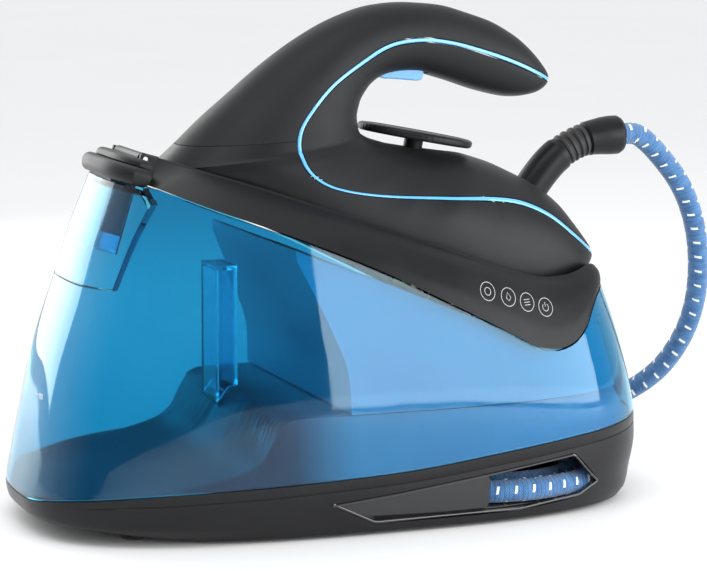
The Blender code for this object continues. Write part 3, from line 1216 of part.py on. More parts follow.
def main():
    for obj in list(bpy.data.objects):
        bpy.data.objects.remove(obj)
    black = material("black_plastic", (0.030, 0.030, 0.032), 0.38)
    satin = material("satin_black", (0.024, 0.024, 0.026), 0.45)
    gloss = material("gloss_black", (0.010, 0.010, 0.011), 0.12)
    blue_clear = material("tank_blue", (0.02, 0.28, 0.42), 0.08, clear=0.8)
    pale_clear = material("clear_blue", (0.05, 0.32, 0.50), 0.10, clear=0.7)
    grey_blue = material("housing_grey", (0.30, 0.42, 0.52), 0.35)
    dark = material("dark_plastic", (0.02, 0.06, 0.09), 0.45)
    trim_blue = material("trim_blue", (0.16, 0.48, 0.78), 0.15)
    trigger_blue = material("trigger_blue", (0.13, 0.32, 0.60), 0.30)
    steel = material("steel", (0.62, 0.62, 0.63), 0.28, 1.0)
    aluminium = material("aluminium", (0.70, 0.70, 0.71), 0.45, 1.0)
    copper = material("brass", (0.70, 0.50, 0.25), 0.35, 1.0)
    rubber = material("rubber", (0.020, 0.020, 0.021), 0.70)
    white = material("white_plastic", (0.75, 0.75, 0.73), 0.45)
    green = material("board_green", (0.05, 0.25, 0.12), 0.50)
    shield = material("shield_grey", (0.10, 0.10, 0.11), 0.50)
    silicone = material("silicone", (0.08, 0.08, 0.085), 0.65)
    amber = material("lens_amber", (0.80, 0.35, 0.05), 0.20)
    fabric = material("hose_fabric", (0.06, 0.16, 0.40), 0.80)

    angles = even_angles(AROUND)[:-1]
    build_tray(black, angles)
    build_bay(gloss)
    build_chassis(dark, angles)
    build_tank(blue_clear, angles)
    build_filler(blue_clear, dark, pale_clear)
    build_housing(grey_blue)
    build_cover(black)
    build_rest(silicone)
    lid_frame = deck_frame("lid_frame")
    build_lid(black, rubber, steel, lid_frame, deck_frame())
    build_internals(steel, copper, white, green, black, pale_clear)
    build_fittings(black, steel, rubber, amber)
    iron_frame = deck_frame("iron_frame")
    inner_cover = build_shells(black, satin, trim_blue, iron_frame)
    build_sole(steel, aluminium, shield, copper, iron_frame)
    cutters = build_controls(black, trigger_blue, steel, white, copper, iron_frame)
    cutters.append(build_gland(black, rubber, iron_frame))
    cut(inner_cover, joined("cover_cutters", cutters))
    build_hose(fabric)


main()
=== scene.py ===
"""The looks of the steam station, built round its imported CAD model: finer shells on the same forms as the CAD
solids, the braided steam hose, small details and every material.

Frame: metres, +Z up, origin under the middle of the object. The deck's own frame, from_deck(u, y, w), has u
down the deck towards +X and w square to it.
"""
import json
import math

import bmesh
import bpy
from mathutils import Matrix, Vector
from mathutils.bvhtree import BVHTree

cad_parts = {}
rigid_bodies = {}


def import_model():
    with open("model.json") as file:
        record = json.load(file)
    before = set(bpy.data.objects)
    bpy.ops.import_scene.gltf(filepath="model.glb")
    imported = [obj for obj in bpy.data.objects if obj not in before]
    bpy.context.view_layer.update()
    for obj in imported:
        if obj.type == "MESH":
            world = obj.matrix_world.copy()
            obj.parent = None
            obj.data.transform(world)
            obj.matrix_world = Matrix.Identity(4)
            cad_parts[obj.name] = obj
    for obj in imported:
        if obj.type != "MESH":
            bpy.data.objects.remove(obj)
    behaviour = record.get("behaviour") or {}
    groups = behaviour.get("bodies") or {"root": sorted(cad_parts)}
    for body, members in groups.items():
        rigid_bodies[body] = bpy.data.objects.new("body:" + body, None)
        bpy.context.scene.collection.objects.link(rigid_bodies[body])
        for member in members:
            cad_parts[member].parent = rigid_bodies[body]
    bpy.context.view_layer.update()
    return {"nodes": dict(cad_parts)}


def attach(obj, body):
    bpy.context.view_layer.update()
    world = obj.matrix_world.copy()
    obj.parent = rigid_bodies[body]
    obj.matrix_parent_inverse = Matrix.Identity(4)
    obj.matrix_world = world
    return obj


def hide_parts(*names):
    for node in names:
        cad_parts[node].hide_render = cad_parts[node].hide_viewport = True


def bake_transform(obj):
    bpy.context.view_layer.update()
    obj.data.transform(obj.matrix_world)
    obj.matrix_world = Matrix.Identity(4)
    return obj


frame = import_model()
NODES = frame["nodes"]

# ---------------------------------------------------------------- driving sizes, as in the CAD (metres)
GAP = 0.0003
WALL = 0.0025
SHELL = 0.0020
BASE_LEFT = 0.2000           # the base's rim from the origin to its left end
BASE_RIGHT = 0.1980          # the same, to its right end
BASE_WIDTH = 0.2160          # rim width
PLAN_POWER = 3.0             # superellipse power of the plan outline
BASE_FOOT = 0.0025           # the tray's underside above the floor
DECK_ORIGIN = (-0.1080, 0.0, 0.2220)
DECK_TILT = 17.2             # degrees, down towards +X
DECK_PLATE = -0.0160         # the deck plate's top, in w
IRON_LENGTH = 0.2970         # tip to heel, in u
IRON_WIDTH = 0.1180          # widest
HOSE_DIAMETER = 0.0140
HOSE_FLOOR = 0.0105          # top of the floor that the stored hose lies on
HOSE_REST = HOSE_FLOOR + 0.5 * HOSE_DIAMETER + GAP      # height of its middle there
LENGTH_SHARE = IRON_LENGTH / 0.2970   # the iron's size against the one its stations are given for
WIDTH_SHARE = IRON_WIDTH / 0.1180
DIAL_DIAMETER = 0.0730
DIAL_THICK = 0.0055
DIAL_CENTRE = (0.1580, 0.0595)       # u, w of the middle of its top
DIAL_TILT = 6.3                      # degrees against the deck
DIAL_SHAFT = 0.0120
TRIGGER_WIDTH = 0.0150
TRIGGER_PIVOT = (0.1205, 0.0905)     # u, w
TRIGGER_SLACK = 0.0008
GLAND_DIAMETER = 0.0220
SLEEVE_DIAMETER = 0.0250
LID_AXIS = (-0.0170, -0.0040)        # u, w of the lid's hinge
LID_OVERHANG = 0.0050
LID_HALF = 0.0450                    # half its width
EAR_PLACE = 0.0300                   # y of the hinge ears
MOUTH_LOW = (-0.0280, -0.0205)       # the filler's mouth: u, y of two corners
MOUTH_HIGH = (-0.0150, 0.0205)
FILLER_PLATE = -0.0225               # its top plate, in w
FILLER_HALF = 0.0580                 # half-width of the filler section at its seams
FILLER_FLOOR = 0.1490                # height of its lower seam
FILLER_CORNER = 0.0085               # size of its upper corners
COVER_FRONT = -0.1260                # x of the deck cover's front edge
BUTTON_DIAMETER = 0.0160
BUTTON_PLACE = (0.022, 0.034)        # y, z on the +X end
LENS_PLACE = (-0.004, 0.034)
LENS_RADIUS = 0.0030
INLET_PLACE = (-0.110, 0.0190)       # x, z on the +Y side
INLET_RADIUS = 0.0075
DRAIN_PLACE = (-0.070, 0.0190)
DRAIN_RADIUS = 0.0085
AROUND = 168                 # stations round a closed outline of the base
ROUND = 48                   # sides of a turned piece


# ---------------------------------------------------------------- curves through chosen points
def curve_through(pairs):
    """Monotone cubic through (x, y) pairs; flat beyond its ends."""
    xs = [p[0] for p in pairs]
    ys = [p[1] for p in pairs]
    steps = [b - a for a, b in zip(xs, xs[1:])]
    rises = [(b - a) / h for a, b, h in zip(ys, ys[1:], steps)]
    slopes = [rises[0]]
    for i in range(1, len(rises)):
        before, after = rises[i - 1], rises[i]
        if before * after <= 0:
            slopes.append(0.0)
        else:
            k1 = 2 * steps[i] + steps[i - 1]
            k2 = steps[i] + 2 * steps[i - 1]
            slopes.append((k1 + k2) / (k1 / before + k2 / after))
    slopes.append(rises[-1])

    def value(x):
        x = min(max(x, xs[0]), xs[-1])
        i = 0
        while i < len(steps) - 1 and x > xs[i + 1]:
            i += 1
        t = (x - xs[i]) / steps[i]
        a = (2 * t ** 3 - 3 * t ** 2 + 1) * ys[i] + (t ** 3 - 2 * t ** 2 + t) * steps[i] * slopes[i]
        b = (3 * t ** 2 - 2 * t ** 3) * ys[i + 1] + (t ** 3 - t ** 2) * steps[i] * slopes[i + 1]
        return a + b
    return value


def smooth_step(x):
    x = min(max(x, 0.0), 1.0)
    return x * x * (3 - 2 * x)


def spline_points(points, spacing):
    """Points at an even spacing along a Catmull-Rom curve through the chosen ones."""
    pts = [Vector(p) for p in points]
    pts = [2 * pts[0] - pts[1]] + pts + [2 * pts[-1] - pts[-2]]
    dense = []
    for i in range(1, len(pts) - 2):
        for k in range(24):
            t = k / 24
            a, b, c, d = pts[i - 1], pts[i], pts[i + 1], pts[i + 2]
            dense.append(0.5 * (2 * b + (c - a) * t + (2 * a - 5 * b + 4 * c - d) * t * t
                                + (3 * b - a - 3 * c + d) * t ** 3))
    dense.append(pts[-2])
    return even_points(dense, spacing)


def even_points(dense, spacing):
    lengths = [0.0]
    for a, b in zip(dense, dense[1:]):
        lengths.append(lengths[-1] + (b - a).length)
    count = max(int(round(lengths[-1] / spacing)), 1)
    out, k = [], 0
    for i in range(count + 1):
        want = lengths[-1] * i / count
        while k < len(lengths) - 2 and lengths[k + 1] < want:
            k += 1
        part = (want - lengths[k]) / max(lengths[k + 1] - lengths[k], 1e-12)
        out.append(dense[k].lerp(dense[k + 1], min(max(part, 0.0), 1.0)))
    return out
LEFT_LEAN = curve_through([(0.0025, 0.800), (0.012, 0.992), (0.020, 1.000), (0.040, 0.983), (0.070, 0.953),
                           (0.100, 0.920), (0.150, 0.838), (0.180, 0.790), (0.203, 0.745), (0.225, 0.705)])
RIGHT_LEAN = curve_through([(0.0025, 0.955), (0.008, 0.975), (0.020, 0.983), (0.040, 1.000), (0.055, 0.998),
                            (0.070, 0.985), (0.100, 0.945), (0.150, 0.856), (0.180, 0.798), (0.225, 0.705)])
SIDE_LEAN = curve_through([(0.0025, 0.935), (0.015, 0.978), (0.030, 1.000), (0.050, 0.995), (0.080, 0.977),
                           (0.110, 0.945), (0.150, 0.870), (0.190, 0.778), (0.225, 0.685)])
SEAM_HEIGHT = curve_through([(-0.200, 0.0210), (-0.191, 0.0250), (-0.165, 0.0295), (-0.138, 0.0320),
                             (-0.043, 0.0360), (0.010, 0.0385), (0.080, 0.0455), (0.129, 0.0500),
                             (0.158, 0.0520), (0.200, 0.0565)])
COVER_EDGE = curve_through([(-0.128, 0.2090), (-0.104, 0.1990), (-0.047, 0.1780), (0.001, 0.1580),
                            (0.051, 0.1335), (0.086, 0.1155), (0.104, 0.1065), (0.118, 0.1040),
                            (0.130, 0.1065), (0.142, 0.1150), (0.151, 0.1270), (0.158, 0.1330),
                            (0.166, 0.1360), (0.175, 0.1370)])


def base_wall(angle, z, inset=0.0):
    """A point on the base's outer form: angle 0 is the +X end, a quarter turn the +Y side."""
    c, s = math.cos(angle), math.sin(angle)
    along = BASE_RIGHT * RIGHT_LEAN(z) if c > 0 else BASE_LEFT * LEFT_LEAN(z)
    across = 0.5 * BASE_WIDTH * SIDE_LEAN(z)
    x = (along - inset) * math.copysign(abs(c) ** (2 / PLAN_POWER), c)
    y = (across - inset) * math.copysign(abs(s) ** (2 / PLAN_POWER), s)
    return Vector((x, y, z))


def wall_at(angle, height_of_x, inset=0.0):
    """The point of the outer form whose height is the given function of its x."""
    z = 0.1
    for _ in range(12):
        point = base_wall(angle, z, inset)
        z = 0.5 * z + 0.5 * height_of_x(point.x)
    return base_wall(angle, z, inset)


def even_angles(count, first=0.0, last=2 * math.pi, z=0.06):
    """Plan angles whose points lie at even distances along the outline, both ends included."""
    fine = [first + (last - first) * i / 1440 for i in range(1441)]
    pts = [base_wall(a, z) for a in fine]
    run = [0.0]
    for a, b in zip(pts, pts[1:]):
        run.append(run[-1] + (b - a).length)
    angles, k = [], 0
    for i in range(count + 1):
        want = run[-1] * i / count
        while k < len(run) - 2 and run[k + 1] < want:
            k += 1
        part = (want - run[k]) / (run[k + 1] - run[k])
        angles.append(fine[k] + (fine[k + 1] - fine[k]) * part)
    return angles


def deck_matrix():
    return Matrix.Translation(DECK_ORIGIN) @ Matrix.Rotation(math.radians(DECK_TILT), 4, "Y")


def from_deck(u, y, w):
    return deck_matrix() @ Vector((u, y, w))
PLAN = curve_through([(0.000, 0.03), (0.017, 0.22), (0.060, 0.43), (0.150, 0.64), (0.290, 0.83),
                      (0.430, 0.935), (0.580, 0.990), (0.680, 1.00), (0.780, 0.965), (0.860, 0.880),
                      (0.925, 0.740), (0.970, 0.520), (0.990, 0.300), (1.000, 0.10)])
STATIONS = [
    (235.2, 113.2, 234.8, 115.4, 1.2, 0), (233.5, 109.5, 232.0, 119.0, 7.5, 0),
    (229.0, 104.5, 225.0, 124.0, 13.0, 0), (218.0, 98.5, 214.0, 130.3, 17.5, 0),
    (204.0, 95.3, 200.0, 135.6, 19.5, 0), (185.0, 94.3, 180.0, 139.0, 20.5, 0),
    (165.0, 94.8, 157.0, 139.3, 21.0, 0), (150.0, 94.6, 131.0, 135.0, 21.5, 0),
    (135.0, 91.0, 106.0, 126.0, 22.5, 0), (122.5, 84.0, 84.0, 111.0, 24.5, 0),
    (116.5, 75.0, 64.5, 91.5, 27.0, 0), (114.3, 66.0, 47.0, 69.0, 30.0, 0),
    (114.8, 59.0, 31.5, 45.5, 33.0, 0), (117.0, 53.5, 19.5, 27.0, 36.0, 0),
    (119.5, 49.5, 9.5, 9.5, 39.0, 0), (124.0, 47.2, -1.0, -8.0, 42.0, 0),
    (130.0, 46.3, 12.0, -8.0, 44.5, 0), (138.0, 46.3, 35.0, -8.0, 46.5, 0),
    (147.0, 47.2, 65.0, -8.0, 49.0, 0), (160.0, 49.0, 100.0, -8.0, 52.5, 0),
    (176.0, 51.5, 140.0, -8.0, 56.5, 0), (193.0, 53.8, 172.0, -8.0, 58.6, 0),
    (208.0, 53.6, 200.0, -8.0, 59.0, 0), (228.0, 51.2, 226.0, -8.0, 57.5, 0),
    (243.0, 48.0, 244.0, -6.5, 54.5, 0), (258.0, 42.7, 260.0, -2.0, 49.5, 0),
    (272.0, 34.0, 272.5, 3.0, 43.5, 0), (284.0, 25.8, 283.5, 8.5, 33.5, 0),
    (292.0, 20.5, 291.0, 13.0, 20.0, 0), (296.6, 17.8, 296.3, 16.2, 4.0, 0)]
SEAM_STATION = 14            # between the handle cover and the body shell
TIP_STATION = 15             # from here on the outer point runs along the lower edge
LAST = len(STATIONS) - 1
TRIM = [(237, 113), (226, 115), (201, 117.5), (178, 118), (156, 117), (136, 113), (117, 104), (101, 88),
        (86, 70),
        (76, 51), (71.5, 38), (72.5, 27), (79, 17), (91, 11.5), (107, 11), (133, 15), (171, 24),
        (200, 31), (223, 34), (245, 31.5), (268, 23.5), (285, 18), (300, 17)]
TRIM_HALF = 0.0012           # half the width of the trim strip
TRIM_PROUD = 0.0005


def station_values():
    columns = [curve_through([(i, row[k] / 1000) for i, row in enumerate(STATIONS)]) for k in range(6)]
    return columns
COLUMNS = station_values()
TRIM_CURVE = spline_points([(u / 1000, 0, w / 1000) for u, w in TRIM], 0.002)


def iron_section(s):
    """Inner point, outer point, half-width and outer half-width of the section at station s."""
    iu, iw, ou, ow, width, edge = [column(s) for column in COLUMNS]
    inner = Vector((iu * LENGTH_SHARE, 0, iw))
    outer = Vector((ou * LENGTH_SHARE, 0, ow))
    width *= WIDTH_SHARE
    if s > TIP_STATION:
        edge = PLAN(ou / 0.297) * 0.059
    edge = min(edge * WIDTH_SHARE, width * 0.9999)
    return inner, outer, width, edge


def iron_point(s, t, side, inset=0.0):
    """A point of the iron's surface: t runs from the inner line (0) to the outer line (1)."""
    inner, outer, width, edge = iron_section(s)
    across = outer - inner
    length = across.length
    inset = min(inset, 0.42 * width, 0.30 * length)
    ratio = edge / width
    reach = 1.0 if ratio < 1e-4 else 2 * (1 - math.sqrt(1 - ratio * ratio)) / (ratio * ratio)
    spread = 2 / reach * math.sqrt(max(t * (reach - t), 0.0))
    spread = spread ** 0.9
    along = inset + t * (length - 2 * inset)
    point = inner + across * (along / length)
    return Vector((point.x, side * (width - inset) * spread, point.z))


def trim_share(s):
    """The share t at which the trim line crosses station s."""
    inner, outer, _, _ = iron_section(s)
    across = outer - inner
    best, where = None, 0.5
    normal = Vector((-across.z, 0, across.x)).normalized()
    curve = [Vector((p.x * LENGTH_SHARE, 0, p.z)) for p in TRIM_CURVE]
    for a, b in zip(curve, curve[1:]):
        da, db = (a - inner).dot(normal), (b - inner).dot(normal)
        if da * db > 0:
            continue
        p = a.lerp(b, da / (da - db) if da != db else 0.0)
        t = (p - inner).dot(across) / across.length_squared
        off = abs(t - 0.5)
        if -0.2 < t < 1.2 and (best is None or off < best):
            best, where = off, t
    return min(max(where, 0.12), 0.88)


def share_curve():
    pairs = [(i * 0.25, trim_share(i * 0.25)) for i in range(LAST * 4 + 1)]
    return curve_through(pairs)


# ---------------------------------------------------------------- mesh helpers
def grid_faces(rows, cols, closed=False, skip=None):
    faces = []
    for i in range(rows - 1):
        for j in range(cols if closed else cols - 1):
            if skip and skip(i, j):
                continue
            k = (j + 1) % cols
            faces.append((i * cols + j, i * cols + k, (i + 1) * cols + k, (i + 1) * cols + j))
    return faces


def circle(centre, radius, axis, count=ROUND, start=(0, 1, 0)):
    axis = Vector(axis).normalized()
    side = Vector(start)
    side = (side - axis * side.dot(axis)).normalized()
    other = axis.cross(side)
    return [Vector(centre) + radius * (side * math.cos(2 * math.pi * i / count)
                                       + other * math.sin(2 * math.pi * i / count)) for i in range(count)]


def directions(path):
    last = len(path) - 1
    return [(path[min(i + 1, last)] - path[max(i - 1, 0)]).normalized() for i in range(len(path))]


def solid(name, verts, faces, material, body=None, bevel=0.0, smooth=35, slot=None, replaces=()):
    """A smooth-shaded closed mesh in the row frame that rides on a body."""
    mesh = bpy.data.meshes.new(name)
    mesh.from_pydata([tuple(v) for v in verts], [], faces)
    bm = bmesh.new()
    bm.from_mesh(mesh)
    bmesh.ops.remove_doubles(bm, verts=bm.verts, dist=1e-6)
    bmesh.ops.recalc_face_normals(bm, faces=bm.faces)
    bm.to_mesh(mesh)
    bm.free()
    mesh.shade_smooth()
    mesh.set_sharp_from_angle(angle=math.radians(smooth))
    obj = bpy.data.objects.new(name, mesh)
    bpy.context.scene.collection.objects.link(obj)
    if material:
        mesh.materials.append(material)
    if bevel:
        soften(obj, bevel)
    if body:
        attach(obj, body)
    if replaces:
        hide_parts(*replaces)
    return obj


def soften(obj, width, angle=42):
    """Rounds the edges, as a moulded piece's are."""
    mod = obj.modifiers.new("Rounded edges", "BEVEL")
    mod.width = width
    mod.segments = 2
    mod.limit_method = "ANGLE"
    mod.angle_limit = math.radians(angle)
    mod.harden_normals = True


def thick_sheet(name, outer, inner, faces, material, body=None, **words):
    """A closed wall: the outer sheet, the inner sheet turned over, and the edges between them."""
    weld = {}

    def keys(points):
        return [weld.setdefault((round(p.x, 7), round(p.y, 7), round(p.z, 7)), len(weld)) for p in points]

    outer_key, inner_key = keys(outer), keys(inner)
    closed, edges = [], {}
    for face in faces:
        ring = [v for k, v in enumerate(face) if outer_key[v] != outer_key[face[k - 1]]]
        if len(ring) < 3:
            continue
        closed.append([outer_key[v] for v in ring])
        closed.append([inner_key[v] for v in reversed(ring)])
        for a, b in zip(ring, ring[1:] + ring[:1]):
            pair = (outer_key[a], outer_key[b])
            if (pair[1], pair[0]) in edges:
                del edges[(pair[1], pair[0])]
            else:
                edges[pair] = (a, b)
    closed += [[outer_key[b], outer_key[a], inner_key[a], inner_key[b]] for a, b in edges.values()]
    return solid(name, list(weld), closed, material, body, **words)


def loft(name, rings, material, body=None, **words):
    """A closed body through rings of equal count, with flat caps."""
    count = len(rings[0])
    faces = grid_faces(len(rings), count, closed=True)
    faces.append(tuple(reversed(range(count))))
    last = (len(rings) - 1) * count
    faces.append(tuple(last + i for i in range(count)))
    return solid(name, [v for ring in rings for v in ring], faces, material, body, **words)


def turned(name, start, axis, profile, material, body=None, **words):
    """A turned piece: profile is (distance along the axis, radius)."""
    axis = Vector(axis).normalized()
    start = Vector(start)
    across = (1, 0, 0) if abs(axis.y) > 0.9 else (0, 1, 0)
    rings = [circle(start + axis * d, r, axis, ROUND, across) for d, r in profile]
    return loft(name, rings, material, body, **words)


def deck_block(name, low, high, material=None, body=None, **words):
    """A block in the deck frame."""
    ring = [(low[0], low[1]), (high[0], low[1]), (high[0], high[1]), (low[0], high[1])]
    return loft(name, [[from_deck(u, y, w) for u, y in ring] for w in (low[2], high[2])], material, body,
                **words)


def rounded(outline, radius, steps=5):
    """A closed outline of 2-D points with its corners rounded."""
    pts = [Vector(p) for p in outline]
    out = []
    for i, p in enumerate(pts):
        before, after = (pts[i - 1] - p), (pts[(i + 1) % len(pts)] - p)
        reach = min(radius, 0.45 * before.length, 0.45 * after.length)
        a, b = p + before.normalized() * reach, p + after.normalized() * reach
        for k in range(steps + 1):
            t = k / steps
            out.append(a.lerp(p, t).lerp(p.lerp(b, t), t))
    return out


def carve(obj, cutters):
    """Cuts the cutters out of a mesh for good, and removes them."""
    for cutter in cutters:
        mod = obj.modifiers.new("Cut", "BOOLEAN")
        mod.operation = "DIFFERENCE"
        mod.solver = "EXACT"
        mod.object = cutter
        obj.modifiers.move(len(obj.modifiers) - 1, 0)
        bpy.context.view_layer.update()
        kept = [m for m in obj.modifiers if m.name != mod.name]
        shown = [m.show_viewport for m in kept]
        for m in kept:
            m.show_viewport = False
        made = bpy.data.meshes.new_from_object(obj.evaluated_get(bpy.context.evaluated_depsgraph_get()))
        for m, was in zip(kept, shown):
            m.show_viewport = was
        obj.modifiers.remove(mod)
        obj.data = made
        made.shade_smooth()
        made.set_sharp_from_angle(angle=math.radians(35))
        bpy.data.objects.remove(cutter)


# ---------------------------------------------------------------- material helpers
def node(tree, kind, settings=None, **inputs):
    """A node with its settings, and inputs given as values or as other nodes' outputs."""
    made = tree.nodes.new(kind)
    for key, value in (settings or {}).items():
        setattr(made, key, value)
    for key, value in inputs.items():
        by_number = key[0] == "i" and key[1:].isdigit()
        socket = made.inputs[int(key[1:]) if by_number else key.replace("_", " ")]
        if isinstance(value, bpy.types.NodeSocket):
            tree.links.new(value, socket)
        else:
            socket.default_value = value
    return made


def started(name):
    material = bpy.data.materials.new(name)
    material.use_nodes = True
    tree = material.node_tree
    return material, tree, tree.nodes["Principled BSDF"]


def mixed(tree, share, a, b):
    """Colour a where share is 0 and b where it is 1."""
    made = node(tree, "ShaderNodeMix", {"data_type": "RGBA"}, i0=share)
    for index, value in ((6, a), (7, b)):
        if isinstance(value, bpy.types.NodeSocket):
            tree.links.new(value, made.inputs[index])
        else:
            made.inputs[index].default_value = (*value, 1)
    return made.outputs[2]


def sum_of(tree, operation, a, b, c=None):
    made = node(tree, "ShaderNodeMath", {"operation": operation}, i0=a, i1=b)
    if c is not None:
        made.inputs[2].default_value = c
    return made.outputs[0]


def spread_over(tree, value, low, high, from_low=0.3, from_high=0.7):
    """A value between 0 and 1 mapped onto a smaller range."""
    return node(tree, "ShaderNodeMapRange", None, Value=value, From_Min=from_low, From_Max=from_high,
                To_Min=low,
                To_Max=high).outputs["Result"]


def noise(tree, where, scale, detail=3.0, rough=0.5):
    return node(tree, "ShaderNodeTexNoise", None, Vector=where, Scale=scale, Detail=detail,
                Roughness=rough).outputs["Fac"]


def plastic(name, colour, rough, grain=900.0, depth=0.00003, mottle=0.12, wear=0.25, coat=0.0, sheen=0.0,
            spread=0.06, shine=0.5, painted_reflection=None):
    """Moulded plastic: mould grain, slow colour and gloss variation, and edges rubbed lighter.

    The (low x, high x, colour) argument paints in a reflection: the plastic takes on that colour between those
    places, paler towards +X, standing in for light reflected off the tank.
    """
    material, tree, bsdf = started(name)
    where = node(tree, "ShaderNodeTexCoord").outputs["Object"]
    cloud = noise(tree, where, 22.0, 4.0, 0.6)
    fine = noise(tree, where, grain, 2.0, 0.7)
    dark = tuple(c * (1 - mottle) for c in colour)
    light = tuple(c * (1 + mottle) + 0.001 for c in colour)
    body = mixed(tree, spread_over(tree, cloud, 0.0, 1.0), dark, light)
    # painted reflection: towards +X the colour turns into the given pale one, standing in for reflected light
    if painted_reflection:
        place = node(tree, "ShaderNodeSeparateXYZ", None, i0=where).outputs["X"]
        body = mixed(tree, spread_over(tree, place, 0.0, 1.0, painted_reflection[0], painted_reflection[1]), body, painted_reflection[2])
    edge = node(tree, "ShaderNodeNewGeometry").outputs["Pointiness"]
    rubbed = sum_of(tree, "MULTIPLY", spread_over(tree, edge, 0.0, wear, 0.515, 0.60),
                    spread_over(tree, noise(tree, where, 260.0), 0.3, 1.0))
    pale = tuple(min(c * 2.2 + 0.03, 1.0) for c in colour)
    tree.links.new(mixed(tree, rubbed, body, pale), bsdf.inputs["Base Color"])
    tree.links.new(spread_over(tree, cloud, rough - spread, rough + spread), bsdf.inputs["Roughness"])
    bump = node(tree, "ShaderNodeBump", None, Strength=0.6, Distance=depth, Height=fine)
    tree.links.new(bump.outputs["Normal"], bsdf.inputs["Normal"])
    bsdf.inputs["Specular IOR Level"].default_value = shine
    bsdf.inputs["Coat Weight"].default_value = coat
    bsdf.inputs["Coat Roughness"].default_value = 0.08
    bsdf.inputs["Sheen Weight"].default_value = sheen
    bsdf.inputs["Sheen Roughness"].default_value = 0.4
    return material


def clear_plastic(name, tint, deep, rough=0.03):
    """Dyed clear plastic: it bends and tints what is behind it, and lets light through to the inside."""
    material, tree, bsdf = started(name)
    where = node(tree, "ShaderNodeTexCoord").outputs["Object"]
    cloud = noise(tree, where, 9.0, 2.0)
    colour = mixed(tree, spread_over(tree, cloud, 0.0, 1.0), tint, deep)
    tree.links.new(colour, bsdf.inputs["Base Color"])
    smears = noise(tree, where, 46.0, 5.0, 0.65)
    tree.links.new(spread_over(tree, smears, rough * 0.5, rough * 1.9), bsdf.inputs["Roughness"])
    bsdf.inputs["Transmission Weight"].default_value = 1.0
    bsdf.inputs["IOR"].default_value = 1.46
    bump = node(tree, "ShaderNodeBump", None, Strength=0.25, Distance=0.0002,
                Height=noise(tree, where, 30.0, 1.0))
    tree.links.new(bump.outputs["Normal"], bsdf.inputs["Normal"])
    lamp = node(tree, "ShaderNodeLightPath").outputs["Is Shadow Ray"]
    passing = node(tree, "ShaderNodeBsdfTransparent", None, Color=(*tint, 1))
    both = node(tree, "ShaderNodeMixShader", None, i0=lamp)
    tree.links.new(bsdf.outputs[0], both.inputs[1])
    tree.links.new(passing.outputs[0], both.inputs[2])
    tree.links.new(both.outputs[0], tree.nodes["Material Output"].inputs["Surface"])
    return material


def brushed(name, colour, rough, along=(1, 0, 0), scale=500.0):
    """Metal with fine brush marks along one direction, and duller patches."""
    material, tree, bsdf = started(name)
    where = node(tree, "ShaderNodeTexCoord").outputs["Object"]
    stretch = tuple(0.03 if a else 1.0 for a in along)
    lines = node(tree, "ShaderNodeMapping", None, Vector=where, Scale=stretch).outputs["Vector"]
    marks = noise(tree, lines, scale, 3.0, 0.7)
    cloud = noise(tree, where, 30.0, 4.0)
    dark = tuple(c * 0.82 for c in colour)
    tree.links.new(mixed(tree, spread_over(tree, cloud, 0.0, 1.0), colour, dark), bsdf.inputs["Base Color"])
    bsdf.inputs["Metallic"].default_value = 1.0
    tree.links.new(spread_over(tree, marks, rough - 0.08, rough + 0.10), bsdf.inputs["Roughness"])
    bump = node(tree, "ShaderNodeBump", None, Strength=0.35, Distance=0.00004, Height=marks)
    tree.links.new(bump.outputs["Normal"], bsdf.inputs["Normal"])
    return material


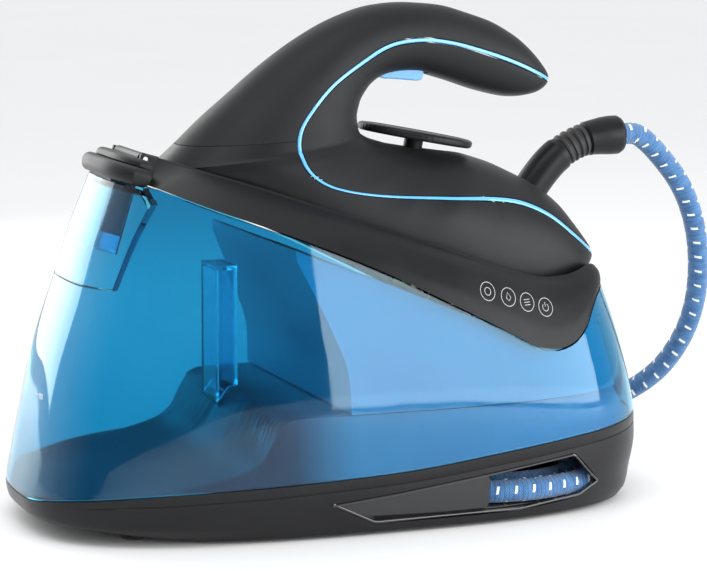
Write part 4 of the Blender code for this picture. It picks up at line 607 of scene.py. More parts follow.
def braid(name):
    """The hose's woven sleeve: fine cross ribs in two blues, and four lengthwise rows of white stitches.
    Its UVs are turns round the hose, and metres along it."""
    material, tree, bsdf = started(name)
    place = node(tree, "ShaderNodeUVMap", {"uv_map": "weave"}).outputs["UV"]
    parts = node(tree, "ShaderNodeSeparateXYZ", None, Vector=place)
    turn, run = parts.outputs["X"], parts.outputs["Y"]
    # cross ribs, each thread lying at a slant
    slant = sum_of(tree, "MULTIPLY_ADD", turn, 0.0028, 0.0)
    tree.links.new(run, slant.node.inputs[2])
    rib = sum_of(tree, "SINE", sum_of(tree, "MULTIPLY", slant, 2 * math.pi / RIB_PITCH), 0.0)
    thread = sum_of(tree, "SINE", sum_of(tree, "MULTIPLY", turn, 2 * math.pi * 26), 0.0)
    cell = node(tree, "ShaderNodeCombineXYZ", None, X=sum_of(tree, "MULTIPLY", turn, 26.0),
                Y=sum_of(tree, "DIVIDE", run, RIB_PITCH)).outputs["Vector"]
    speck = node(tree, "ShaderNodeTexWhiteNoise", {"noise_dimensions": "2D"},
                 Vector=node(tree, "ShaderNodeVectorMath", {"operation": "FLOOR"},
                             i0=cell).outputs[0]).outputs["Value"]
    patch = noise(tree, node(tree, "ShaderNodeCombineXYZ", None, X=sum_of(tree, "MULTIPLY", turn, 4.0),
                             Y=sum_of(tree, "DIVIDE", run, 0.0055)).outputs["Vector"], 1.0, 2.0)
    blue = mixed(tree, spread_over(tree, patch, 0.0, 1.0), (0.016, 0.090, 0.255), (0.070, 0.215, 0.450))
    blue = mixed(tree, sum_of(tree, "MULTIPLY", speck, 0.40), blue, (0.100, 0.280, 0.520))
    blue = mixed(tree, spread_over(tree, rib, 0.45, 0.0, -1.0, 0.2), blue, (0.006, 0.030, 0.110))
    # white stitches: one every STITCH_PITCH in each row, neighbouring rows half a pitch apart
    row = sum_of(tree, "MULTIPLY", turn, 4.0)
    row_number = sum_of(tree, "FLOOR", row, 0.0)
    within_row = sum_of(tree, "SUBTRACT", sum_of(tree, "FRACT", row, 0.0), 0.5)
    shift = sum_of(tree, "MULTIPLY", row_number, 0.5)
    slope = sum_of(tree, "MULTIPLY", within_row, 0.22)
    step = sum_of(tree, "ADD", sum_of(tree, "ADD", sum_of(tree, "DIVIDE", run, STITCH_PITCH), shift), slope)
    within_step = sum_of(tree, "SUBTRACT", sum_of(tree, "FRACT", step, 0.0), 0.5)
    wide = sum_of(tree, "LESS_THAN", sum_of(tree, "ABSOLUTE", within_row, 0.0), 0.23)
    long = sum_of(tree, "LESS_THAN", sum_of(tree, "ABSOLUTE", within_step, 0.0), 0.075)
    stitch = sum_of(tree, "MULTIPLY", wide, long)
    colour = mixed(tree, stitch, blue, (0.86, 0.89, 0.93))
    tree.links.new(colour, bsdf.inputs["Base Color"])
    tree.links.new(spread_over(tree, speck, 0.72, 0.92, 0.0, 1.0), bsdf.inputs["Roughness"])
    bsdf.inputs["Sheen Weight"].default_value = 0.35
    bsdf.inputs["Sheen Roughness"].default_value = 0.45
    height = sum_of(tree, "ADD", sum_of(tree, "MULTIPLY", rib, thread), sum_of(tree, "MULTIPLY", stitch, 1.5))
    bump = node(tree, "ShaderNodeBump", None, Strength=0.8, Distance=0.00022, Height=height)
    tree.links.new(bump.outputs["Normal"], bsdf.inputs["Normal"])
    return material


def board(name):
    """A printed circuit board: solder mask with lighter tracks."""
    material, tree, bsdf = started(name)
    where = node(tree, "ShaderNodeTexCoord").outputs["Object"]
    tracks = node(tree, "ShaderNodeTexBrick", None, Vector=where, Scale=180.0,
                  Mortar_Size=0.06).outputs["Fac"]
    tree.links.new(mixed(tree, tracks, (0.02, 0.16, 0.07), (0.10, 0.36, 0.16)), bsdf.inputs["Base Color"])
    tree.links.new(spread_over(tree, noise(tree, where, 60.0), 0.28, 0.45), bsdf.inputs["Roughness"])
    return material


RIB_PITCH = 0.0014
STITCH_PITCH = 0.0109

SATIN = plastic("satin_black_plastic", (0.010, 0.0105, 0.0115), 0.40, wear=0.12, shine=0.20)
SOFT = plastic("soft_touch_black", (0.011, 0.0115, 0.0125), 0.50, grain=1400.0, depth=0.00004, sheen=0.03,
               wear=0.12, shine=0.22)
GLOSS = plastic("gloss_black_plastic", (0.008, 0.008, 0.009), 0.13, depth=0.000006, coat=0.6, spread=0.04)
TRAY_BLACK = plastic("tray_black_plastic", (0.009, 0.009, 0.010), 0.33, grain=1100.0, wear=0.12, shine=0.24)
LINER = plastic("bay_liner_black", (0.012, 0.012, 0.013), 0.18, depth=0.00001, coat=0.3, spread=0.05)
TANK = clear_plastic("tank_clear_blue", (0.100, 0.500, 0.690), (0.075, 0.440, 0.650))
FILLER = clear_plastic("filler_clear_blue", (0.130, 0.540, 0.730), (0.110, 0.500, 0.700))
# The housing turns pale grey towards +X: a painted reflection, not the housing's own colour.
HOUSING = plastic("housing_grey_blue", (0.420, 0.600, 0.700), 0.38, depth=0.00001, mottle=0.04, wear=0.05,
                  painted_reflection=(-0.02, 0.10, (0.62, 0.60, 0.62)))
# The tank floor turns pale grey-blue towards +X: a painted reflection, as on the housing.
FLOOR_BLUE = plastic("tank_floor_blue", (0.012, 0.050, 0.095), 0.42, grain=2000.0, depth=0.000008,
                     mottle=0.05,
                     painted_reflection=(-0.055, -0.015, (0.50, 0.55, 0.60)))
INTAKE = clear_plastic("intake_clear_blue", (0.45, 0.80, 0.90), (0.40, 0.76, 0.88), 0.05)
CHUTE = clear_plastic("chute_clear_blue", (0.30, 0.75, 0.88), (0.25, 0.70, 0.85), 0.06)
TRIM_BLUE = plastic("trim_blue_plastic", (0.100, 0.400, 0.760), 0.16, depth=0.000006, coat=0.8, mottle=0.05,
                    wear=0.1, spread=0.04)
TRIGGER_BLUE = plastic("trigger_blue_plastic", (0.100, 0.330, 0.620), 0.26, mottle=0.07, wear=0.15)
STEEL = brushed("brushed_steel", (0.60, 0.60, 0.61), 0.26)
ALUMINIUM = brushed("cast_aluminium", (0.66, 0.66, 0.67), 0.42, (0, 0, 0), 380.0)
BRASS = brushed("brass", (0.72, 0.52, 0.24), 0.30)
RUBBER = plastic("black_rubber", (0.016, 0.016, 0.017), 0.62, grain=700.0, depth=0.00006, sheen=0.15)
SILICONE = plastic("grey_silicone", (0.070, 0.072, 0.076), 0.60, grain=500.0, depth=0.00005, sheen=0.2)
WHITE = plastic("white_plastic", (0.720, 0.720, 0.700), 0.42, mottle=0.05, wear=0.05)
SHIELD = plastic("heat_shield_grey", (0.075, 0.076, 0.080), 0.50)
AMBER = plastic("lens_amber", (0.750, 0.300, 0.030), 0.14, depth=0.000005, coat=0.8, mottle=0.06)
PRINT = plastic("printed_grey", (0.420, 0.430, 0.440), 0.50, depth=0.000005, mottle=0.05, wear=0.0)
PRINT_WHITE = plastic("printed_white", (0.800, 0.830, 0.850), 0.45, depth=0.000005, mottle=0.04, wear=0.0)
BOARD = board("circuit_board")
WEAVE = braid("braided_sleeve")

# what the carried-over CAD nodes are made of
CAD_LOOKS = {
    "boiler": STEEL, "boiler_heater": ALUMINIUM, "control_board": BOARD, "drain_cap": TRAY_BLACK,
             "foot_1": RUBBER,
    "foot_2": RUBBER, "foot_3": RUBBER, "foot_4": RUBBER, "heat_shield": SHIELD, "hose_socket": BRASS,
    "indicator_lens": AMBER, "iron_rest": SILICONE, "iron_steam_tube": RUBBER, "lid_hinge_pin": STEEL,
    "lid_seal": SILICONE, "mains_inlet": TRAY_BLACK, "power_button": GLOSS, "pump": WHITE, "pump_tube": WHITE,
    "sole_heater": ALUMINIUM, "solenoid_valve": BRASS, "soleplate": STEEL, "steam_casting": ALUMINIUM,
    "steam_pipe": BRASS, "steam_switch": WHITE, "thermostat": BRASS, "trigger_pin": STEEL,
             "water_intake": INTAKE,
    "scale_filter": FLOOR_BLUE,
}
for name, material in CAD_LOOKS.items():
    data = NODES[name].data
    data.materials.clear()
    data.materials.append(material)

# ---------------------------------------------------------------- camera, floor and lights
AIM = Vector((0, 0, 0.15))
camera_turn, camera_rise = math.radians(-20), math.radians(8)
back = Vector((math.sin(camera_turn) * math.cos(camera_rise), -math.cos(camera_turn) * math.cos(camera_rise),
               math.sin(camera_rise)))
camera = bpy.data.objects.new("camera", bpy.data.cameras.new("camera"))
bpy.context.scene.collection.objects.link(camera)
camera.location = AIM + back * 1.7
camera.rotation_euler = (-back).to_track_quat("-Z", "Y").to_euler()
camera.data.sensor_width = 36.0
camera.data.lens = 138.5
camera.data.shift_x = 0.0403
camera.data.shift_y = -0.0304
camera.data.clip_start = 0.05
bpy.context.scene.camera = camera

bpy.context.scene.view_settings.view_transform = "Standard"
world = bpy.data.worlds.new("studio")
bpy.context.scene.world = world
world.use_nodes = True
sky = world.node_tree
# white, but in mirror images brightest behind the object, half as bright above and dim in front
aside = node(sky, "ShaderNodeSeparateXYZ", None, i0=node(sky, "ShaderNodeTexCoord").outputs["Generated"])
behind = spread_over(sky, aside.outputs["Y"], 0.10, 0.85, -0.30, 0.50)
above = spread_over(sky, aside.outputs["Z"], 0.0, 0.35, 0.10, 0.90)
path = node(sky, "ShaderNodeLightPath")
seen = sum_of(sky, "SUBTRACT", 1.0, path.outputs["Is Glossy Ray"])
strength = node(sky, "ShaderNodeMix", {"data_type": "FLOAT"}, i0=seen, i2=sum_of(sky, "ADD", behind, above),
                i3=1.0)
sky.links.new(strength.outputs[0], sky.nodes["Background"].inputs["Strength"])
sky.nodes["Background"].inputs["Color"].default_value = (0.985, 0.993, 1.0, 1)

floor_material, floor_tree, floor_bsdf = started("pale_floor")
floor_where = node(floor_tree, "ShaderNodeTexCoord").outputs["Object"]
floor_tree.links.new(mixed(floor_tree, noise(floor_tree, floor_where, 3.0), (0.86, 0.86, 0.865),
                           (0.89, 0.89, 0.89)),
                     floor_bsdf.inputs["Base Color"])
floor_bsdf.inputs["Roughness"].default_value = 0.55
FLOOR_SIZE = 12.0
floor = solid("floor", [(-FLOOR_SIZE, -FLOOR_SIZE, -0.0002), (FLOOR_SIZE, -FLOOR_SIZE, -0.0002),
                        (FLOOR_SIZE, FLOOR_SIZE, -0.0002), (-FLOOR_SIZE, FLOOR_SIZE, -0.0002)],
              [(0, 1, 2, 3)],
              floor_material)


def softbox(name, place, aim, width, height, power, colour=(1, 1, 1)):
    data = bpy.data.lights.new(name, "AREA")
    data.shape = "RECTANGLE"
    data.size = width
    data.size_y = height
    data.energy = power
    data.color = colour
    lamp = bpy.data.objects.new(name, data)
    bpy.context.scene.collection.objects.link(lamp)
    lamp.location = place
    lamp.rotation_euler = (Vector(aim) - Vector(place)).to_track_quat("-Z", "Y").to_euler()
    return lamp


softbox("key_above", (-0.35, -0.45, 1.25), (0, 0, 0.12), 0.9, 0.7, 5.0)
softbox("right_panel", (1.13, -1.13, 0.51), (0, 0, 0.30), 1.85, 1.0, 30.0, (0.98, 0.985, 1.0))
softbox("rear_glow", (-0.55, 1.10, 0.45), (-0.08, 0, 0.12), 1.0, 0.8, 8.0)
for lamp in bpy.data.objects:
    if lamp.type == "LIGHT":
        lamp.visible_camera = False

# ---------------------------------------------------------------- the steam hose
HOSE_ROUTE = [(0.2026, 0.0000, 0.2252), (0.2180, 0.0040, 0.2235), (0.2360, 0.0080, 0.2090),
              (0.2540, 0.0120, 0.1880), (0.2670, 0.0180, 0.1630), (0.2750, 0.0260, 0.1350),
              (0.2780, 0.0360, 0.1060), (0.2750, 0.0480, 0.0800), (0.2660, 0.0640, 0.0560),
              (0.2510, 0.0830, 0.0380), (0.2300, 0.0990, 0.0270), (0.2030, 0.1090, HOSE_REST + 0.0027),
              (0.1700, 0.1110, HOSE_REST + 0.0005), (0.1380, 0.1040, HOSE_REST), (0.1100, 0.0935, HOSE_REST),
              (0.0820, 0.0860, HOSE_REST), (0.0560, 0.0740, HOSE_REST), (0.0360, 0.0480, HOSE_REST),
              (0.0290, 0.0100, HOSE_REST), (0.0300, -0.0300, HOSE_REST), (0.0410, -0.0640, HOSE_REST),
              (0.0640, -0.0850, HOSE_REST), (0.0960, -0.0915, HOSE_REST), (0.1260, -0.0845, HOSE_REST),
              (0.1530, -0.0690, HOSE_REST), (0.1740, -0.0420, HOSE_REST), (0.1800, -0.0050, HOSE_REST),
              (0.1740, 0.0340, HOSE_REST), (0.1540, 0.0620, HOSE_REST), (0.1220, 0.0720, HOSE_REST),
              (0.0880, 0.0660, HOSE_REST), (0.0640, 0.0500, HOSE_REST), (0.0500, 0.0200, HOSE_REST),
              (0.0490, -0.0200, HOSE_REST), (0.0620, -0.0520, HOSE_REST), (0.0900, -0.0700, HOSE_REST),
              (0.1240, -0.0660, HOSE_REST), (0.1500, -0.0440, HOSE_REST), (0.1600, -0.0080, HOSE_REST),
              (0.1525, 0.0200, HOSE_REST), (0.1320, 0.0405, HOSE_REST), (0.1040, 0.0480, HOSE_REST)]
RING_STEP = 0.00070          # distance between the rings of the hose's mesh
HOSE_SIDES = 28
RIB_PROUD = 0.00016          # how far its ribs stand up


def build_hose():
    """The hose as a ribbed tube, from the iron's sleeve round the back and into the bay."""
    path = spline_points(HOSE_ROUTE, RING_STEP)
    ways = directions(path)
    side = Vector((0, 0, 1))
    verts, runs = [], []
    run = 0.0
    for i, (p, ahead) in enumerate(zip(path, ways)):
        side = (side - ahead * side.dot(ahead)).normalized()
        other = ahead.cross(side)
        run += (p - path[i - 1]).length if i else 0.0
        radius = 0.5 * HOSE_DIAMETER - 0.0002 + RIB_PROUD * math.sin(2 * math.pi * run / (2 * RIB_PITCH))
        for k in range(HOSE_SIDES):
            a = 2 * math.pi * k / HOSE_SIDES
            verts.append(p + (side * math.cos(a) + other * math.sin(a)) * radius)
        runs.append(run)
    count = len(path)
    faces = grid_faces(count, HOSE_SIDES, closed=True)
    faces.append(tuple(reversed(range(HOSE_SIDES))))
    faces.append(tuple((count - 1) * HOSE_SIDES + k for k in range(HOSE_SIDES)))
    mesh = bpy.data.meshes.new("hose_braid")
    mesh.from_pydata([tuple(v) for v in verts], [], faces)
    layer = mesh.uv_layers.new(name="weave")
    for polygon in mesh.polygons:
        corners = [(mesh.loops[i].vertex_index // HOSE_SIDES, mesh.loops[i].vertex_index % HOSE_SIDES)
                   for i in polygon.loop_indices]
        last_side = any(k == HOSE_SIDES - 1 for _, k in corners) and len(corners) == 4
        for i, (ring, k) in zip(polygon.loop_indices, corners):
            turn = 1.0 if last_side and k == 0 else k / HOSE_SIDES
            layer.data[i].uv = (turn, runs[ring])
    mesh.materials.append(WEAVE)
    mesh.shade_smooth()
    bm = bmesh.new()
    bm.from_mesh(mesh)
    bmesh.ops.recalc_face_normals(bm, faces=bm.faces)
    bm.to_mesh(mesh)
    bm.free()
    hose = bpy.data.objects.new("hose_braid", mesh)
    bpy.context.scene.collection.objects.link(hose)
    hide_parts("steam_hose")
    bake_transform(hose)
    line = spline_points(HOSE_ROUTE, 0.006)


build_hose()


# ---------------------------------------------------------------- the base
GROOVE_DROP = 0.0062         # the upper band's height, down to the groove in the tray
GROOVE_DEPTH = 0.0005


def prism(name, outline, low, high):
    """An outline of (x, z) points drawn out along Y, as a cutter."""
    return loft(name, [[Vector((x, y, z)) for x, z in outline] for y in (low, high)], None)


def build_tray(angles):
    """The black lower shell with its hose windows, its groove, and a band above it."""
    inset_at = curve_through([(0.0025, 0.0020), (0.0065, 0.0020), (0.0120, WALL), (0.0203, WALL)])
    rise_at = curve_through([(0.0025, WALL), (0.0065, WALL), (0.0120, 0.0015), (0.0200, 0.0), (0.0210, 0.0)])
    outer, inner = [], []
    tops = [wall_at(a, lambda x: SEAM_HEIGHT(x) - GAP).z for a in angles]
    low_z = 0.0203
    # distance below the seam and how far the surface lies in, for the band and the groove under it
    band = ((0.0, 0.0004), (0.0004, 0.0), (GROOVE_DROP - 0.0006, 0.0), (GROOVE_DROP - 0.0003, 0.00015),
            (GROOVE_DROP, GROOVE_DEPTH), (GROOVE_DROP + 0.0004, GROOVE_DEPTH), (GROOVE_DROP + 0.0008, 0.0001))
    rows = []
    for drop, inset in band:
        rows.append([(top - drop * min((top - low_z) / 0.012, 1.0), inset * (1 if drop < 0.001 else
                      smooth_step((top - low_z - 0.006) / 0.006))) for top in tops])
    for share in (0.8, 0.6, 0.4, 0.2, 0.06):
        rows.append([(low_z + (rows[6][i][0] - low_z) * share, 0.0) for i in range(len(angles))])
    for z in (0.0196, 0.0178, 0.0160, 0.0142, 0.0124, 0.0108, 0.0094, 0.0082, 0.0070, 0.0060, 0.0050, 0.0042,
              0.0035, 0.0029, BASE_FOOT):
        rows.append([(z, 0.0)] * len(angles))
    for row in rows:
        for a, (z, inset) in zip(angles, row):
            outer.append(base_wall(a, z, inset))
            inner.append(base_wall(a, z, inset_at(z)) + Vector((0, 0, rise_at(z))))
    count = len(angles)
    faces = grid_faces(len(rows), count, closed=True)
    faces.append(tuple((len(rows) - 1) * count + i for i in range(count)))
    tray = thick_sheet("tray_shell", outer, inner, faces, TRAY_BLACK, "base", slot="black_plastic",
                       replaces=["base_tray"], smooth=30)
    cutters = [prism(f"window_{side}", rounded(WINDOW, 0.0022), *sorted((side * 0.070, side * 0.130)))
               for side in (-1, 1)]
    for name, (y, z), radius in (("button", BUTTON_PLACE, 0.5 * BUTTON_DIAMETER),
                                 ("lens", LENS_PLACE, LENS_RADIUS)):
        cutters.append(turned(f"{name}_bore", (0.170, y, z), (1, 0, 0),
                              [(0, radius + GAP), (0.060, radius + GAP)],
                              None))
    for name, (x, z), radius in (("inlet", INLET_PLACE, INLET_RADIUS), ("drain", DRAIN_PLACE, DRAIN_RADIUS)):
        cutters.append(turned(f"{name}_bore", (x, 0.080, z), (0, 1, 0),
                              [(0, radius + GAP), (0.050, radius + GAP)],
                              None))
    carve(tray, cutters)
    soften(tray, 0.0003, angle=50)
    return tray


WINDOW = [(-0.0360, 0.0220), (-0.0060, 0.0072), (0.0900, 0.0072), (0.1340, 0.0110), (0.1500, 0.0185),
          (0.1280, 0.0400), (0.0740, 0.0345), (0.0080, 0.0265)]


def wall_y(x, z):
    """Half the width of the base's outer form at (x, z)."""
    along = BASE_RIGHT * RIGHT_LEAN(z) if x > 0 else BASE_LEFT * LEFT_LEAN(z)
    across = 0.5 * BASE_WIDTH * SIDE_LEAN(z)
    return across * (1 - min(abs(x) / along, 1.0) ** PLAN_POWER) ** (1 / PLAN_POWER)


def offset_outline(points, distance):
    """A closed 2-D outline moved outwards, square to itself."""
    area = sum(a.x * b.y - b.x * a.y for a, b in zip(points, points[1:] + points[:1]))
    turn = 1 if area > 0 else -1
    out = []
    for i, p in enumerate(points):
        along = (points[(i + 1) % len(points)] - points[i - 1]).normalized()
        out.append(p + Vector((along.y, -along.x)) * distance * turn)
    return out


def build_window_frames():
    """A thin glossy bezel round each hose window, just inside its edge, following the wall."""
    base = rounded(WINDOW, 0.0026, 8)
    profile = [(-0.0004, -0.0030), (-0.0004, 0.0002), (-0.0008, 0.0005), (-0.0014, 0.0005), (-0.0018, 0.0002),
               (-0.0018, -0.0030)]
    for side, name in ((-1, "window_bezel_near"), (1, "window_bezel_far")):
        rings = []
        for out, proud in profile:
            rings.append([Vector((p.x, side * (wall_y(p.x, p.y) + proud), p.y))
                          for p in offset_outline(base, out)])
        rings.append(rings[0])
        solid(name, [v for ring in rings for v in ring], grid_faces(len(rings), len(base), closed=True),
              GLOSS,
              "base", slot="gloss_black")


def clipped_outline(z, inset, front, count, back=1.0):
    """Plan outline of the outer form at one height, cut off square at x = front and x = back."""
    along = (BASE_RIGHT * RIGHT_LEAN(z) if front > 0 else BASE_LEFT * LEFT_LEAN(z)) - inset
    end = math.acos(math.copysign((abs(front) / along) ** (0.5 * PLAN_POWER), front))
    ring = []
    for a in even_angles(count, -end, end):
        p = base_wall(a, z, inset)
        ring.append(Vector((min(p.x, back), p.y, z)))
    return ring


BAY_FRONT = 0.0165           # x of the bay floor's left edge
BAY_SIDE = 0.0026            # room between it and the tray's wall
BAY_THICK = 0.002
PARTITION_THICK = 0.0018


def build_bay():
    """The glossy tray that the stored hose lies on, and the wall that closes its left end."""
    outer, inner = [], []
    count = 110
    levels = (BASE_FOOT + WALL + GAP, HOSE_FLOOR - 0.0030, HOSE_FLOOR - 0.0012, HOSE_FLOOR - 0.0004,
              HOSE_FLOOR)
    for z, extra in zip(levels, (0, 0, 0, 0.0004, 0.0012)):
        side = WALL + BAY_SIDE + extra
        outer += clipped_outline(z, side, BAY_FRONT + extra, count)
        inner += clipped_outline(min(z, HOSE_FLOOR - BAY_THICK), side + BAY_THICK, BAY_FRONT + BAY_THICK,
                                 count)
    faces = grid_faces(len(levels), count + 1, closed=True)
    faces.append(tuple((len(levels) - 1) * (count + 1) + i for i in range(count + 1)))
    thick_sheet("bay_floor", outer, inner, faces, LINER, "base", slot="gloss_black",
                replaces=["hose_bay_liner"])
    path = spline_points([(-0.0330, -0.0980, 0.0240), (-0.0120, -0.0930, 0.0290), (0.0080, -0.0830, 0.0335),
                          (0.0140, -0.0700, 0.0335), (0.0140, 0.0, 0.0335), (0.0140, 0.0700, 0.0335),
                          (0.0080, 0.0830, 0.0335), (-0.0120, 0.0930, 0.0290), (-0.0330, 0.0980, 0.0240)],
                         0.003)
    rings = []
    for p, ahead in zip(path, directions(path)):
        off = Vector((-ahead.y, ahead.x, 0)).normalized() * PARTITION_THICK
        low = BASE_FOOT + WALL + GAP
        rings.append([Vector((p.x, p.y, low)), Vector((p.x + off.x, p.y + off.y, low)),
                      Vector((p.x + off.x, p.y + off.y, p.z)), Vector((p.x, p.y, p.z))])
    loft("bay_wall", rings, LINER, "base", slot="gloss_black", replaces=["bay_partition"])


WINDOW_LOW = curve_through([(-0.0360, 0.0200), (-0.0060, 0.0055), (0.0700, 0.0055)])
WINDOW_HIGH = curve_through([(-0.0360, 0.0235), (0.0080, 0.0285), (0.0740, 0.0365)])


PANEL_START, PANEL_END, PANEL_ROUND = -0.0340, 0.0690, 0.0530      # x of its ends and of where it rounds off
PANEL_FACE, PANEL_BACK, PANEL_DISH = 0.0031, 0.0046, 0.0006        # depths behind the tray's outer form


def build_bay_panels():
    """The shallow glossy panel that fills the left part of each hose window."""
    columns, rows = 48, 8
    for side, name in ((-1, "bay_panel_near"), (1, "bay_panel_far")):
        outer, inner = [], []
        for j in range(rows + 1):
            for i in range(columns + 1):
                x = PANEL_START + (PANEL_END - PANEL_START) * math.sin(0.5 * math.pi * i / columns)
                low, high = WINDOW_LOW(x), WINDOW_HIGH(x)
                over = max(x - PANEL_ROUND, 0.0) / (PANEL_END - PANEL_ROUND)
                half = 0.5 * (high - low) * (1 - 0.55 * (1 - math.sqrt(max(1 - over * over, 0.0))))
                z = 0.5 * (low + high) + half * (2 * j / rows - 1)
                dish = PANEL_DISH * (1 - (2 * j / rows - 1) ** 2)
                outer.append(Vector((x, side * (wall_y(x, z) - PANEL_FACE - dish), z)))
                inner.append(Vector((x, side * (wall_y(x, z) - PANEL_BACK), z)))
        thick_sheet(name, outer, inner, grid_faces(rows + 1, columns + 1), LINER, "base", slot="gloss_black",
                    bevel=0.0003)


FLOOR_RISE = curve_through([(-0.190, 0.0225), (-0.120, 0.0340), (-0.082, 0.0420), (-0.072, 0.0500),
                            (-0.062, 0.0690), (-0.050, 0.0725), (0.180, 0.0725)])


def build_chassis(angles):
    """The tank's floor: a thin plate from the seam inwards, stepping up over the pump space."""
    side = WALL + 0.0012
    shares = [1.0, 0.985, 0.965, 0.948, 0.93] + [0.93 - 0.06 * k for k in range(1, 15)]
    outer, inner = [], []
    for share in shares:
        for a in angles:
            edge = wall_at(a, lambda x: SEAM_HEIGHT(x) - 0.0012, side)
            rim = edge.z + 0.0012
            x, y = edge.x * share, edge.y * share
            lift = smooth_step((1.0 - share) / 0.07)
            z = rim + (max(FLOOR_RISE(x), rim) - rim) * lift
            outer.append(Vector((x, y, z)))
            inner.append(Vector((x * (1 - 0.0018 * (share > 0.9) / max(abs(x), 0.05)), y, z - 0.0020)))
    count = len(angles)
    faces = grid_faces(len(shares), count, closed=True)
    outer.append(Vector((0, 0, FLOOR_RISE(0))))
    inner.append(Vector((0, 0, FLOOR_RISE(0) - 0.0020)))
    last = (len(shares) - 1) * count
    faces += [(last + i, last + (i + 1) % count, len(outer) - 1) for i in range(count)]
    thick_sheet("tank_floor", outer, inner, faces, FLOOR_BLUE, "base", slot="dark_plastic",
                replaces=["chassis"])


def build_tank(angles):
    """The translucent shell round the whole base, with the filler section's gap at its left end."""
    tops = []
    for a in angles:
        z = 0.12
        for _ in range(40):
            z = 0.6 * z + 0.4 * (COVER_EDGE(base_wall(a, z).x) - 3 * GAP)
        tops.append(z)
    lows = [wall_at(a, lambda x: SEAM_HEIGHT(x) + GAP).z for a in angles]
    outer, inner = [], []
    rows = 34
    for k in range(rows + 1):
        for a, low, top in zip(angles, lows, tops):
            z = low + (top - low) * k / rows
            outer.append(base_wall(a, z))
            inner.append(base_wall(a, z, WALL))
    tank = thick_sheet("tank_wall", outer, inner, grid_faces(rows + 1, len(angles), closed=True), TANK,
                       "base",
                       slot="tank_blue", replaces=["tank_shell"])
    corner = FILLER_HALF - FILLER_CORNER
    right = [(FILLER_HALF, FILLER_FLOOR - GAP), (FILLER_HALF, 0.1985), (corner, 0.2095), (corner, 0.2500)]
    outline = right + [(-y, z) for y, z in reversed(right)]
    gap = loft("filler_gap", [[Vector((x, y, z)) for y, z in outline] for x in (-0.2500, -0.0900)], None)
    carve(tank, [gap])
    return tank


def deck_height(x, w=0.0):
    tilt = math.radians(DECK_TILT)
    u = (x - DECK_ORIGIN[0] - w * math.sin(tilt)) / math.cos(tilt)
    return DECK_ORIGIN[2] - u * math.sin(tilt) + w * math.cos(tilt)


def filler_height(x):
    """Height of the filler section's top plate, which lies parallel to the deck."""
    return deck_height(x, FILLER_PLATE)


def filler_wall(y, share, inset=0.0):
    """A point of the filler section's wall, at a share of its height, and moved in square to it."""
    z, x = 0.18, -0.150
    corner = FILLER_CORNER * max(share - 0.84, 0.0) / 0.16
    y *= 1 - corner / (FILLER_HALF - GAP)
    for _ in range(14):
        along = BASE_LEFT * LEFT_LEAN(z)
        across = 0.5 * BASE_WIDTH * SIDE_LEAN(z)
        x = -along * (1 - min(abs(y) / across, 1.0) ** PLAN_POWER) ** (1 / PLAN_POWER)
        goal = FILLER_FLOOR + GAP + (filler_height(x) - FILLER_FLOOR - GAP) * share
        z = 0.5 * z + 0.5 * goal
    normal = Vector(((-(abs(x) / along) ** 2) / along, math.copysign((abs(y) / across) ** 2 / across, y), 0))
    return Vector((x, y, z)) - normal.normalized() * inset


def build_filler():
    """The filler section over the left end, and its chute."""
    edge = FILLER_HALF - GAP
    columns = [edge * math.sin(0.5 * math.pi * (2 * i / 60 - 1)) for i in range(61)]
    heights = [k / 20 for k in range(17)] + [0.84, 0.87, 0.90, 0.93, 0.96, 0.98, 1.0]
    outer, inner = [], []
    for share in sorted(set(heights)):
        outer += [filler_wall(y, share) for y in columns]
        drop = Vector((0, 0, WALL * smooth_step((share - 0.93) / 0.07)))
        inner += [filler_wall(y, share, WALL) - drop for y in columns]
    rows = len(outer) // len(columns)
    for share in (0.08, 0.3, 0.6, 1.0):
        for y in columns:
            corner = filler_wall(y, 1.0)
            x = corner.x + (COVER_FRONT - GAP - corner.x) * share
            outer.append(Vector((x, corner.y, filler_height(x))))
            inner.append(Vector((x, corner.y, filler_height(x) - WALL)))
    section = thick_sheet("filler_shell", outer, inner, grid_faces(rows + 4, len(columns)), FILLER, "base",
                          slot="tank_blue", replaces=["filler_section"])
    carve(section, [deck_block("mouth", (*MOUTH_LOW, -0.040), (*MOUTH_HIGH, 0.0))])
    (u0, y0), (u1, y1) = MOUTH_LOW, MOUTH_HIGH
    box_tube("filler_tube", (u0 - 0.0009, y0 - 0.0009), (u1 + 0.0009, y1 + 0.0009),
             FILLER_PLATE - WALL - 0.0004,
             -0.0640, 0.0009, CHUTE, "base", slot="clear_blue", replaces=["filler_chute"], bevel=0.0003)


def box_tube(name, low, high, top, floor_w, thick, material, body, **words):
    """A rectangular tube in the deck frame, open at both ends."""
    rings = []
    for inset, w in ((0, floor_w), (0, top), (thick, top), (thick, floor_w), (0, floor_w)):
        rings.append([from_deck(u, y, w) for u, y in ((low[0] + inset, low[1] + inset),
                     (high[0] - inset, low[1] + inset), (high[0] - inset, high[1] - inset),
                     (low[0] + inset, high[1] - inset))])
    return solid(name, [v for ring in rings for v in ring], grid_faces(5, 4, closed=True), material, body,
                 **words)


HOUSING_FOOT = 0.0735        # its bottom edge
HOUSING_DROP = 0.024         # how far it stays below the deck
HOUSING_SIDE = 0.005         # room between it and the tank's side
HOUSING_BACK = 0.022         # and at its +X end
HOUSING_THICK = 0.002


